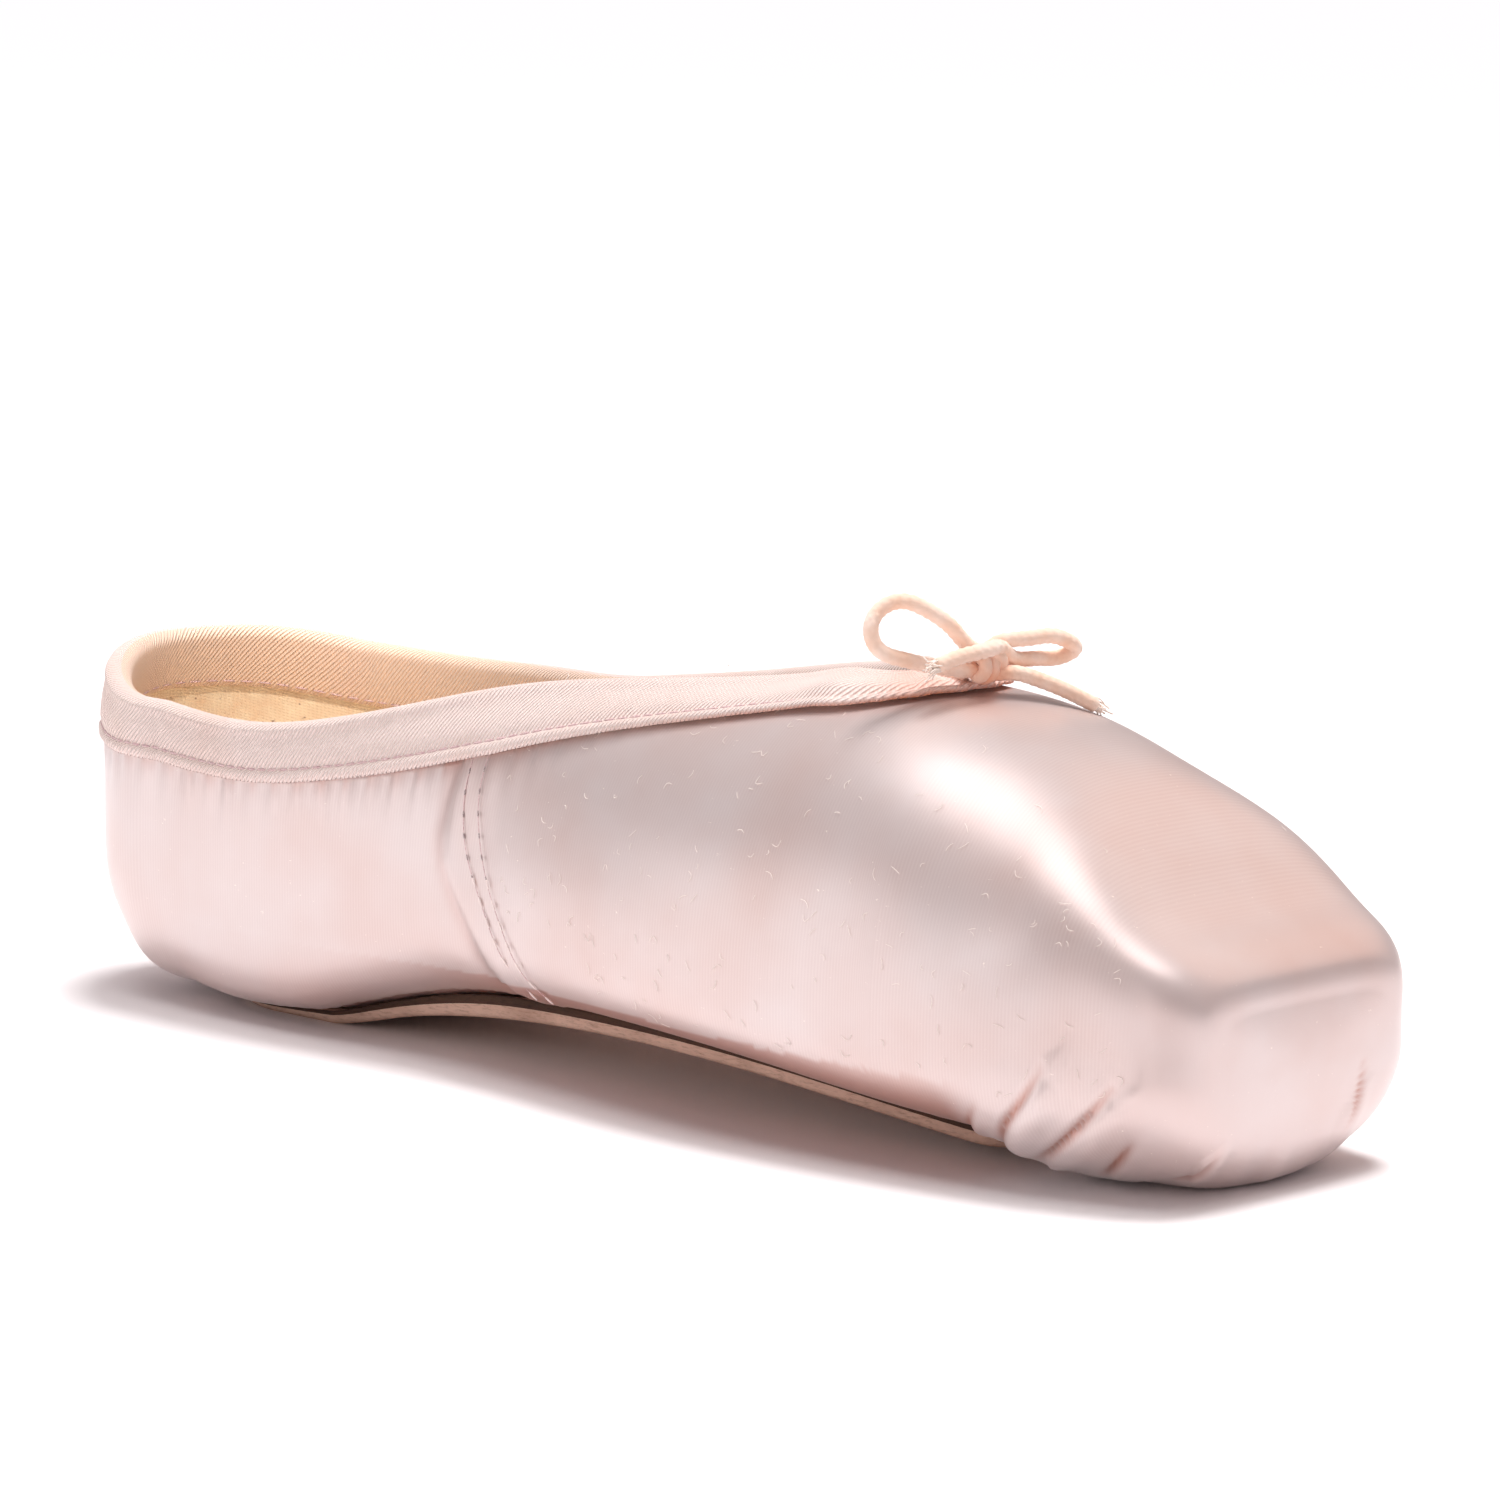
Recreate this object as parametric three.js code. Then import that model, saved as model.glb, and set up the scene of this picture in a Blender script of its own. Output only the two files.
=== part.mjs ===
// A pointe shoe on a straight last, standing on a floor. Millimetres, +X to the toe, +Z up.
// The last is a row of sections that lean back a little. Each section is two half superellipses,
// one below and one above its widest height. Behind the middle of the heel the sections fan round
// a pivot, and at the toe they draw in round the edge of a flat platform.

import * as THREE from "three";
import { mergeVertices } from "three/addons/utils/BufferGeometryUtils.js";

// Driving sizes
const LENGTH = 236.8; // heel back to the middle of the toe platform
const HEEL_ROUND = 26.4; // heel back to the pivot that the heel's sections fan round
const LEAN_BACK = 0.03; // how far each section leans back for each millimetre of height
const PLATFORM_EDGE = 9.6; // rounding between the platform and the box
const PLATFORM_DOME = 0.8; // how far the platform's middle stands before its rim
const PLATFORM_TIP = 1.4; // how far the platform's top rim stands before its middle height
const PLATFORM_MIDDLE = 16; // height that the platform tips about
const TIP_LENGTH = 40; // the tip fades out over this length behind the platform
const HEEL_UNDERSIDE = 1.1; // the satin bulges down round the sole's heel
const HEEL_BULGE_START = 40; // and the bulge fades out between these
const HEEL_BULGE_END = 68;
const TOE_DROP_START = 3; // the underside drops to the floor from here behind the sole's end
const TOE_DROP_END = 12; // to here before it
const TOE_UNDERSIDE = -0.6; // the toe's underside would reach this far down if no floor cut it flat
const WALL = 1.8; // satin, canvas and lining together
const GAP = 0.35; // clearance between neighbouring pieces
const TAPE_GAP = 0.45; // clearance of the casing, which bends more tightly
const THROAT = 168; // front end of the collar opening in the upper
const THROAT_ROUND = 8; // length of the rounded end of the opening
const SOLE_THICK = 2.3; // outsole in the middle of its width
const INSOLE_THICK = 2.0;
const INSOLE_START = 24;
const INSOLE_END = 198;
const MARGIN = 8; // the upper is turned in this far under the sole's edge
const CUT_START = 38; // the opening between the turned-in edges
const CUT_END = 187;
const CUT_ROUND = 10;
const TAPE_THICK = 0.9; // drawstring casing
const TAPE_OUTSIDE = 12; // width of the casing outside the collar
const TAPE_INSIDE = 11; // width of the casing inside the collar
const HEM_THICK = 0.5; // casing at its two edges
const ROLL_RISE = 0.3; // how far the roll's middle stands over the collar edge
const ROLL_OUT = 0.4; // and outside the middle of the wall
const CORD = 2.2; // drawstring diameter
const ORIGIN = 117.1; // from the heel back to the middle of the whole length, roll included

// The collar's slack starts at this height, and grows with this power of the way up
const SLACK_START = 8;
const SLACK_POWER = 1.5;

// Sections of the last, by distance from the heel's back. "opening" is half the collar opening's
// width, and "slack" is how much lower the near collar edge lies, and the far one higher.
const LAST_COLUMNS = [
  "at", "halfWidth", "widest", "top", "lowPower", "topPower", "opening", "slack",
];
const LAST = [
  [30, 28.2, 21.1, 77.8, 3.7, 2.53, 26.4, 2.0],
  [58, 29.5, 21.6, 73.8, 5.4, 2.5, 27.2, 2.1],
  [86, 28.8, 24.0, 67.8, 3.2, 2.1, 22.7, -0.3],
  [114, 31.8, 24.7, 62.8, 3.2, 2.07, 17.0, -1.0],
  [142, 36.3, 23.1, 63.1, 3.2, 2.15, 11.3, 0],
  [166, 37.4, 20.6, 64.6, 3.1, 2.2, 7.0, 0],
  [188, 36.5, 18.9, 62.0, 2.9, 2.4, 7.0, 0],
  [208, 34.7, 18.8, 54.0, 2.6, 2.7, 7.0, 0],
  [227, 28.9, 18.3, 36.3, 2.25, 6.0, 7.0, 0],
];
// The section that looks straight back from the pivot
const HEEL = { widest: 29.6, top: 67.7, lowPower: 2.0, topPower: 2.95, opening: 24.3, fan: 1.86 };

// Leather sole: half width and height of its underside, by distance from the heel's back
const SOLE_START = 29;
const SOLE_END = 196;
const SOLE_HEEL_ROUND = 16; // length of the rounded heel end
const SOLE_HEEL_POWER = 2.2; // its roundness: 2 is an ellipse, more is squarer
const SOLE_TOE_ROUND = 12; // length of the rounded toe end
const SOLE_TOE_POWER = 2.6;
const SOLE_BEVEL = 0.7; // chamfer of the lower edge
const SOLE_COLUMNS = ["at", "halfWidth", "underside"];
const SOLE = [
  [30, 17.4, 0],
  [44, 17.6, 0],
  [58, 17.6, 0],
  [72, 17.6, 2.9],
  [88, 17.8, 5.5],
  [114, 19.0, 7.2],
  [142, 21.0, 7.1],
  [166, 21.5, 5.5],
  [188, 19.5, 2.9],
  [196, 18.5, 2.0],
];

// Drawstring bow, drawn tight over the throat: the routes of its loops and ends, from the knot out
const CORD_SIDES = 8;
const CORD_STEP = 2.6;
const LEFT_LOOP = [
  [57.9, -3.1, 70.3],
  [57.2, -6, 73.5],
  [55.2, -9.5, 76.4],
  [52.6, -12.5, 77.7],
  [50.5, -15.2, 76.7],
  [50.2, -17, 74.1],
  [51.6, -16.3, 71.2],
  [53.8, -13, 69.4],
  [55.6, -8, 68.1],
  [58.2, -3.1, 67.1],
];
const LEFT_TAIL = [
  [60.6, -3, 70],
  [60.2, -6, 70.2],
  [59.4, -9, 69.6],
  [58.8, -11.5, 68.8],
];
const RIGHT_LOOP = [
  [60, 3, 70.7],
  [61.6, 5.5, 72.2],
  [63.4, 8.5, 72.6],
  [64.3, 12, 71.4],
  [64.2, 14, 69.5],
  [63.2, 13, 68],
  [61.6, 7.5, 67.6],
  [59.6, 3.1, 67.9],
];
const RIGHT_TAIL = [
  [62, 3, 66.9],
  [63.4, 4.5, 66.2],
  [65.7, 8, 64.6],
  [67.6, 11, 62.9],
  [68.8, 13, 61.7],
];
const KNOT_MIDDLE = [59.2, 0, 68];
const KNOT_SIDES = 16;
// Half of the knot's outline, radius and distance along its axis: two wraps of cord
const KNOT = [
  [0, -2.5],
  [1.9, -2.5],
  [2.5, -1.9],
  [2.6, -1.2],
  [2.5, -0.6],
  [2.2, 0],
  [2.5, 0.6],
  [2.6, 1.2],
  [2.5, 1.9],
  [1.9, 2.5],
  [0, 2.5],
];

// Meshing
const ACROSS = 13; // steps from the underside to the ridge
const FAN_STEPS = 9;
const SECTION_STEP = 7.2;
const ROUND_STEPS = 4; // stations in the rounded end of an opening or a sole
const TAPE_STEP = 7;
const TAPE_ROUND_STEPS = 6;
const ROLL_ANGLES = [36, 72, 108, 144]; // degrees round the roll, from its outer side
const EDGE_STEPS = 5;
const CLOSEST_STATIONS = 0.3; // even stations this near an opening's end are left out
const SLOPE_STEP = 0.4; // the skin's slope is measured over this step to each side
const DOME_SCALES = [0.66, 0.33, 0];
const PLATE_ACROSS = 6;

// Maths

// Natural cubic spline through the rows of a table, for one of its columns
function columnSpline(table, columns, name) {
  const xs = table.map((row) => row[0]);
  const ys = table.map((row) => row[columns.indexOf(name)]);
  const last = xs.length - 1;
  const bend = new Array(last + 1).fill(0);
  const share = new Array(last + 1).fill(0);
  const turn = new Array(last + 1).fill(0);
  for (let i = 1; i < last; i++) {
    const before = xs[i] - xs[i - 1];
    const after = xs[i + 1] - xs[i];
    const pivot = 2 * (before + after) - before * share[i - 1];
    const change = (ys[i + 1] - ys[i]) / after - (ys[i] - ys[i - 1]) / before;
    share[i] = after / pivot;
    turn[i] = (6 * change - before * turn[i - 1]) / pivot;
  }
  for (let i = last - 1; i > 0; i--) bend[i] = turn[i] - share[i] * bend[i + 1];
  return (wanted) => {
    const x = clamp(wanted, xs[0], xs[last]);
    let i = 0;
    while (i < last - 1 && x > xs[i + 1]) i++;
    const step = xs[i + 1] - xs[i];
    const a = (xs[i + 1] - x) / step;
    const b = (x - xs[i]) / step;
    const curve = (a ** 3 - a) * bend[i] + (b ** 3 - b) * bend[i + 1];
    return a * ys[i] + b * ys[i + 1] + (curve * step * step) / 6;
  };
}

function clamp(x, low, high) {
  return Math.min(Math.max(x, low), high);
}

function mix(a, b, share) {
  return a + (b - a) * share;
}

function smoothStep(x, start, end) {
  const t = clamp((x - start) / (end - start), 0, 1);
  return t * t * (3 - 2 * t);
}

// Share of the full width at a distance into a rounded end of that length
function roundedEnd(into, length, power = 2) {
  return (1 - (1 - clamp(into / length, 0, 1)) ** power) ** (1 / power);
}

// How far a point lies out on superellipses round the middle: 1 on the curve itself
function gauge(out, rise, width, reach, power) {
  return ((Math.abs(out) / width) ** power + (Math.abs(rise) / reach) ** power) ** (1 / power);
}

// Sole outline

const soleColumn = Object.fromEntries(
  SOLE_COLUMNS.map((name) => [name, columnSpline(SOLE, SOLE_COLUMNS, name)]),
);

function soleHalfWidth(s) {
  const heel = roundedEnd(s - SOLE_START, SOLE_HEEL_ROUND, SOLE_HEEL_POWER);
  const toe = roundedEnd(SOLE_END - s, SOLE_TOE_ROUND, SOLE_TOE_POWER);
  return soleColumn.halfWidth(s) * heel * toe;
}

function soleUnderside(s) {
  return Math.max(soleColumn.underside(s), 0);
}

// Half width of the opening between the upper's turned-in edges
function cutHalfWidth(s) {
  if (s <= CUT_START || s >= CUT_END) return 0;
  const ends = roundedEnd(s - CUT_START, CUT_ROUND) * roundedEnd(CUT_END - s, CUT_ROUND);
  return (soleHalfWidth(s) - MARGIN) * ends;
}

// Last

const lastColumn = Object.fromEntries(
  LAST_COLUMNS.map((name) => [name, columnSpline(LAST, LAST_COLUMNS, name)]),
);
const LAST_END = LENGTH - PLATFORM_DOME - PLATFORM_EDGE;

function undersideAt(s) {
  const pastSole = smoothStep(s, SOLE_END - TOE_DROP_START, SOLE_END + TOE_DROP_END);
  const pastHeel = smoothStep(s, HEEL_BULGE_START, HEEL_BULGE_END);
  const overSole = mix(HEEL_UNDERSIDE, soleUnderside(s) + SOLE_THICK + GAP, pastHeel);
  return mix(overSole, TOE_UNDERSIDE, pastSole);
}

function openingAt(s) {
  return s < THROAT ? lastColumn.opening(s) * roundedEnd(THROAT - s, THROAT_ROUND) : 0;
}

function bodySection(s) {
  const at = Math.min(s, LAST_END);
  return {
    halfWidth: lastColumn.halfWidth(at),
    widest: lastColumn.widest(at),
    bottom: undersideAt(at),
    top: lastColumn.top(at),
    lowPower: lastColumn.lowPower(at),
    topPower: lastColumn.topPower(at),
    opening: openingAt(s),
    slack: s < THROAT ? lastColumn.slack(s) : 0,
  };
}

// turn is 0 square to the last at the pivot, and a right angle straight back
function heelSection(turn) {
  const side = bodySection(HEEL_ROUND);
  const back = Math.sin(turn) ** 2;
  const reach = (across, behind) =>
    1 / gauge(Math.cos(turn), Math.sin(turn), across, behind, HEEL.fan);
  return {
    halfWidth: reach(side.halfWidth, HEEL_ROUND),
    widest: mix(side.widest, HEEL.widest, back),
    bottom: side.bottom,
    top: mix(side.top, HEEL.top, back),
    lowPower: mix(side.lowPower, HEEL.lowPower, back),
    topPower: mix(side.topPower, HEEL.topPower, back),
    opening: reach(side.opening, HEEL.opening),
    slack: side.slack * (1 - back),
  };
}

// The section that a place belongs to, and how far out in it the place lies
function sectionOver(s, across) {
  if (s >= HEEL_ROUND) return { section: bodySection(s), out: Math.abs(across), turn: 0 };
  const turn = Math.atan2(HEEL_ROUND - s, Math.abs(across));
  return { section: heelSection(turn), out: Math.hypot(HEEL_ROUND - s, across), turn };
}

// Distance out and height at an angle from -90 degrees below to 90 above, drawn in by inset
function sectionPoint(section, angle, inset) {
  const above = angle >= 0;
  const power = above ? section.topPower : section.lowPower;
  const reach = above ? section.top - section.widest : section.widest - section.bottom;
  const rise = (reach - inset) * Math.abs(Math.sin(angle)) ** (2 / power);
  const out = (section.halfWidth - inset) * Math.abs(Math.cos(angle)) ** (2 / power);
  return [out, above ? section.widest + rise : section.widest - rise];
}

function angleAt(out, width, power) {
  return Math.acos(clamp(out / width, 0, 1) ** (power / 2));
}

function topAngle(section) {
  return angleAt(section.opening, section.halfWidth, section.topPower);
}

// The slack grows from nothing near the floor to its full share at the collar
function slackAt(section, height) {
  const [, edge] = sectionPoint(section, topAngle(section), 0);
  const share = clamp((height - SLACK_START) / (edge - SLACK_START), 0, 1);
  return section.slack * share ** SLACK_POWER;
}

function tipAt(s, height) {
  const share = clamp((s - (LENGTH - TIP_LENGTH)) / TIP_LENGTH, 0, 1) ** 2;
  return (PLATFORM_TIP * share * (height - PLATFORM_MIDDLE)) / PLATFORM_MIDDLE;
}

// A place on or near the last as a point of the part; slack lowers the near side, -Y
function place(s, across, height, slack = 0) {
  const x = s - LEAN_BACK * height + tipAt(s, height) - ORIGIN;
  return new THREE.Vector3(x, across, height + Math.sign(across) * slack);
}

// Upper: columns run from the back of the heel to the middle of the platform. Each one gives the
// point at a share of the way from its underside to its top, in the skin at that inset.

function heelColumn(turn) {
  const section = heelSection(turn);
  const high = topAngle(section);
  return {
    open: true,
    cut: false,
    point(share, inset, side) {
      const [out, height] = sectionPoint(section, mix(-Math.PI / 2, high, share), inset);
      const s = HEEL_ROUND - out * Math.sin(turn);
      return place(s, side * out * Math.cos(turn), height, slackAt(section, height));
    },
  };
}

function bodyColumn(s) {
  const section = bodySection(s);
  const low = -angleAt(cutHalfWidth(s), section.halfWidth, section.lowPower);
  const high = topAngle(section);
  return {
    open: s <= THROAT,
    cut: s >= CUT_START && s <= CUT_END,
    point(share, inset, side) {
      const [out, height] = sectionPoint(section, mix(low, high, share), inset);
      return place(s, side * out, Math.max(height, inset), slackAt(section, height));
    },
  };
}

// The rounded edge of the platform: the last section draws in as it comes forward
function edgeColumn(turn) {
  const section = bodySection(LAST_END);
  return {
    open: false,
    cut: false,
    point(share, inset, side) {
      const round = PLATFORM_EDGE - inset;
      const drawn = inset + round * (1 - Math.cos(turn));
      const angle = mix(-Math.PI / 2, Math.PI / 2, share);
      const [out, height] = sectionPoint(section, angle, drawn);
      return place(LAST_END + round * Math.sin(turn), side * out, Math.max(height, inset));
    },
  };
}

function domeColumn(scale) {
  const section = bodySection(LAST_END);
  const middle = (section.top + section.bottom) / 2;
  return {
    open: false,
    cut: false,
    point(share, inset, side) {
      const angle = mix(-Math.PI / 2, Math.PI / 2, share);
      const [out, height] = sectionPoint(section, angle, PLATFORM_EDGE);
      const s = LAST_END + PLATFORM_EDGE - inset + PLATFORM_DOME * (1 - scale * scale);
      return place(s, side * out * scale, mix(middle, height, scale));
    },
  };
}

// Evenly spread stations, with finer ones where an opening or a sole rounds off
function stations(start, end, step, ends, roundSteps = ROUND_STEPS) {
  const count = Math.ceil((end - start) / step);
  const all = Array.from({ length: count + 1 }, (_, i) => mix(start, end, i / count));
  for (const [tip, length] of ends) {
    for (let i = 0; i <= roundSteps; i++) {
      all.push(tip + length * (1 - Math.cos((i * Math.PI) / 2 / roundSteps)));
    }
  }
  all.sort((a, b) => a - b);
  const tips = ends.map(([tip]) => tip);
  return all.filter((s, i) => {
    const crowded = tips.some((tip) => s !== tip && Math.abs(s - tip) < CLOSEST_STATIONS);
    return !crowded && (i === 0 || s - all[i - 1] > 1e-6);
  });
}

function upperColumns() {
  const ends = [
    [THROAT, -THROAT_ROUND],
    [CUT_START, CUT_ROUND],
    [CUT_END, -CUT_ROUND],
    [SOLE_END + TOE_DROP_END, -TOE_DROP_END - TOE_DROP_START],
  ];
  const fan = Array.from({ length: FAN_STEPS }, (_, i) =>
    heelColumn((Math.PI / 2) * (1 - i / FAN_STEPS)),
  );
  const body = stations(HEEL_ROUND, LAST_END, SECTION_STEP, ends).map(bodyColumn);
  const edge = Array.from({ length: EDGE_STEPS }, (_, i) =>
    edgeColumn((Math.PI / 2) * ((i + 1) / EDGE_STEPS)),
  );
  return [...fan, ...body, ...edge, ...DOME_SCALES.map(domeColumn)];
}

// Joins the corners that meet, and drops the faces with no area
function closed(loose) {
  const bare = new THREE.BufferGeometry().setAttribute("position", loose.getAttribute("position"));
  bare.setIndex(loose.index);
  const merged = mergeVertices(bare, 1e-3);
  const index = merged.index.array;
  const kept = [];
  for (let i = 0; i < index.length; i += 3) {
    const [a, b, c] = index.subarray(i, i + 3);
    if (a !== b && b !== c && c !== a) kept.push(a, b, c);
  }
  merged.setIndex(kept);
  merged.computeVertexNormals();
  return merged;
}

// Gathers four-sided faces, and makes one closed geometry of them
class Faces {
  constructor() {
    this.corners = [];
  }

  add(a, b, c, d, turned = false) {
    const ring = turned ? [a, d, c, b] : [a, b, c, d];
    for (const i of [0, 1, 2, 0, 2, 3]) this.corners.push(ring[i]);
  }

  geometry() {
    return closed(new THREE.BufferGeometry().setFromPoints(this.corners));
  }
}

function upperGeometry() {
  const columns = upperColumns();
  const faces = new Faces();
  for (const side of [-1, 1]) {
    const far = side > 0;
    const skin = (inset) =>
      columns.map((column) =>
        Array.from({ length: ACROSS + 1 }, (_, j) => column.point(j / ACROSS, inset, side)),
      );
    const outer = skin(0);
    const inner = skin(WALL);
    for (let i = 0; i + 1 < columns.length; i++) {
      const [o, p, n, m] = [outer[i], outer[i + 1], inner[i], inner[i + 1]];
      for (let j = 0; j < ACROSS; j++) {
        faces.add(o[j], p[j], p[j + 1], o[j + 1], far);
        faces.add(n[j], m[j], m[j + 1], n[j + 1], !far);
      }
      if (columns[i].open && columns[i + 1].open) {
        faces.add(o[ACROSS], p[ACROSS], m[ACROSS], n[ACROSS], far);
      }
      if (columns[i].cut && columns[i + 1].cut) faces.add(p[0], o[0], n[0], m[0], far);
    }
  }
  return faces.geometry();
}

// Plates: outsole and insole

// Height of the upper's underside, drawn in by inset, at a place of the last
function skinHeight(s, across, inset) {
  const { section, out } = sectionOver(s, across);
  const width = section.halfWidth - inset;
  const reach = section.widest - section.bottom - inset;
  const fall = (1 - clamp(out / width, 0, 1) ** section.lowPower) ** (1 / section.lowPower);
  return Math.max(section.widest - reach * fall, inset);
}

// A plate inside an outline of half widths, between two height functions, with a bevelled edge
function plateGeometry(start, end, ends, halfWidth, topAt, bottomAt, bevel) {
  const along = stations(start, end, SECTION_STEP, ends);
  const outline = along.map((s) => [s, halfWidth(s)]);
  const inner = outline.map(([s, half], i) => {
    const [before, beforeHalf] = outline[Math.max(i - 1, 0)];
    const [after, afterHalf] = outline[Math.min(i + 1, along.length - 1)];
    const slope = new THREE.Vector2(after - before, afterHalf - beforeHalf).normalize();
    if (i === 0 || i === along.length - 1) return [s + (i === 0 ? bevel : -bevel), 0];
    return [s + bevel * slope.y, Math.max(half - bevel * slope.x, 0)];
  });
  const row = ([s, half], heightAt) =>
    Array.from({ length: PLATE_ACROSS + 1 }, (_, k) => {
      const across = half * ((2 * k) / PLATE_ACROSS - 1);
      return place(s, across, heightAt(s, across));
    });
  const faces = new Faces();
  for (let i = 0; i + 1 < along.length; i++) {
    const top = row(outline[i], topAt);
    const nextTop = row(outline[i + 1], topAt);
    const edge = row(outline[i], (s) => bottomAt(s, outline[i][1]) + bevel);
    const nextEdge = row(outline[i + 1], (s) => bottomAt(s, outline[i + 1][1]) + bevel);
    const low = row(inner[i], bottomAt);
    const nextLow = row(inner[i + 1], bottomAt);
    for (let k = 0; k < PLATE_ACROSS; k++) {
      faces.add(top[k], nextTop[k], nextTop[k + 1], top[k + 1]);
      faces.add(low[k], nextLow[k], nextLow[k + 1], low[k + 1], true);
    }
    for (const [k, turned] of [[0, false], [PLATE_ACROSS, true]]) {
      faces.add(edge[k], nextEdge[k], nextTop[k], top[k], turned);
      faces.add(low[k], nextLow[k], nextEdge[k], edge[k], turned);
    }
  }
  return faces.geometry();
}

function outsoleGeometry() {
  const ends = [[SOLE_START, SOLE_HEEL_ROUND], [SOLE_END, -SOLE_TOE_ROUND]];
  const topAt = (s, across) => skinHeight(s, across, 0) - GAP;
  return plateGeometry(
    SOLE_START, SOLE_END, ends, soleHalfWidth, topAt, soleUnderside, SOLE_BEVEL,
  );
}

function insoleGeometry() {
  const grow = (INSOLE_END - INSOLE_START) / (SOLE_END - SOLE_START);
  const halfWidth = (s) => soleHalfWidth(SOLE_START + (s - INSOLE_START) / grow);
  const ends = [[INSOLE_START, SOLE_HEEL_ROUND], [INSOLE_END, -SOLE_TOE_ROUND]];
  const bottomAt = (s, across) => skinHeight(s, across, WALL) + GAP;
  const topAt = (s, across) => bottomAt(s, across) + INSOLE_THICK;
  return plateGeometry(INSOLE_START, INSOLE_END, ends, halfWidth, topAt, bottomAt, 0);
}

// Binding: a tape folded over the collar edge, with a rounded roll along its fold

// The place on the skin at that inset that the ray from the middle of the section goes through
function onSkin([s, across, height], inset) {
  const { section, out, turn } = sectionOver(s, across);
  const above = height >= section.widest;
  const reach = above ? section.top - section.widest : section.widest - section.bottom;
  const power = above ? section.topPower : section.lowPower;
  const rise = height - section.widest;
  const grow = 1 / gauge(out, rise, section.halfWidth - inset, reach - inset, power);
  const side = Math.sign(across);
  const behind = s < HEEL_ROUND;
  return [
    behind ? HEEL_ROUND - out * grow * Math.sin(turn) : s,
    side * out * grow * (behind ? Math.cos(turn) : 1),
    section.widest + rise * grow,
  ];
}

function skinGauge(s, across, height) {
  const { section, out } = sectionOver(s, across);
  const above = height >= section.widest;
  const reach = above ? section.top - section.widest : section.widest - section.bottom;
  const power = above ? section.topPower : section.lowPower;
  return gauge(out, height - section.widest, section.halfWidth, reach, power);
}

function skinNormal([s, across, height]) {
  const step = SLOPE_STEP;
  return new THREE.Vector3(
    skinGauge(s + step, across, height) - skinGauge(s - step, across, height),
    skinGauge(s, across + step, height) - skinGauge(s, across - step, height),
    skinGauge(s, across, height + step) - skinGauge(s, across, height - step),
  ).normalize();
}

function placeOnLast([s, across, height]) {
  const { section } = sectionOver(s, across);
  return place(s, across, height, slackAt(section, height));
}

// The collar edge as places of the last: from the throat along the near side, round the heel and
// back along the far side
function collarEdge() {
  const along = stations(HEEL_ROUND, THROAT, TAPE_STEP, [[THROAT, -THROAT_ROUND]], TAPE_ROUND_STEPS);
  const half = (s) => {
    const section = bodySection(s);
    return [s, ...sectionPoint(section, topAngle(section), 0)];
  };
  const body = along.reverse().map(half);
  const fan = Array.from({ length: FAN_STEPS * 2 - 1 }, (_, i) => {
    const turn = (Math.PI / 2) * ((i + 1) / FAN_STEPS);
    const section = heelSection(Math.min(turn, Math.PI - turn));
    const [out, height] = sectionPoint(section, topAngle(section), 0);
    return [HEEL_ROUND - out * Math.sin(turn), -out * Math.cos(turn), height];
  });
  const near = body.map(([s, out, height]) => [s, -out, height]);
  const far = body.slice(1).reverse();
  return [...near, ...fan, ...far];
}

function bindingGeometry() {
  const edge = collarEdge();
  const count = edge.length;
  const at = (i) => new THREE.Vector3(...edge[(i + count) % count]);
  const thick = TAPE_GAP + TAPE_THICK;
  const rings = edge.map((spot, i) => {
    const here = at(i);
    const normal = skinNormal(spot);
    const ahead = at(i + 1).sub(at(i - 1)).normalize();
    const away = normal.clone().cross(ahead).normalize();
    const from = (out, down) =>
      here.clone().addScaledVector(normal, out).addScaledVector(away, down).toArray();
    const band = (inset, widths) => widths.map((width) => onSkin(from(0, width), inset));
    const roll = ROLL_ANGLES.map((degrees) => {
      const angle = THREE.MathUtils.degToRad(degrees);
      const radius = WALL / 2 + thick;
      const middle = ROLL_OUT - WALL / 2;
      return from(middle + radius * Math.cos(angle), -ROLL_RISE - radius * Math.sin(angle));
    });
    return [
      ...band(-TAPE_GAP - HEM_THICK, [TAPE_OUTSIDE]),
      ...band(-thick, [TAPE_OUTSIDE / 2, 0.5]),
      ...roll,
      ...band(WALL + thick, [0.5, TAPE_INSIDE / 2]),
      ...band(WALL + TAPE_GAP + HEM_THICK, [TAPE_INSIDE]),
      ...band(WALL + TAPE_GAP, [TAPE_INSIDE, TAPE_INSIDE / 2]),
      from(-WALL - TAPE_GAP, -TAPE_GAP),
      from(TAPE_GAP, -TAPE_GAP),
      ...band(-TAPE_GAP, [TAPE_OUTSIDE / 2, TAPE_OUTSIDE]),
    ].map(placeOnLast);
  });
  const faces = new Faces();
  rings.forEach((ring, i) => {
    const next = rings[(i + 1) % count];
    ring.forEach((point, k) => {
      const on = (k + 1) % ring.length;
      faces.add(point, next[k], next[on], ring[on], true);
    });
  });
  return faces.geometry();
}

// Bow

function cordGeometry(route) {
  const path = new THREE.CatmullRomCurve3(route.map((point) => new THREE.Vector3(...point)));
  const round = Array.from({ length: CORD_SIDES }, (_, i) => {
    const turn = (2 * Math.PI * i) / CORD_SIDES;
    return new THREE.Vector2(Math.cos(turn), Math.sin(turn)).multiplyScalar(CORD / 2);
  });
  const tube = new THREE.ExtrudeGeometry(new THREE.Shape(round), {
    extrudePath: path,
    steps: Math.ceil(path.getLength() / CORD_STEP),
    bevelEnabled: false,
  });
  return closed(tube);
}

function knotGeometry() {
  const outline = KNOT.map(([radius, along]) => new THREE.Vector2(radius, along));
  return closed(new THREE.LatheGeometry(outline, KNOT_SIDES).translate(...KNOT_MIDDLE));
}

// Finishes
const finish = (color, roughness) => new THREE.MeshStandardMaterial({ color, roughness });

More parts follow.
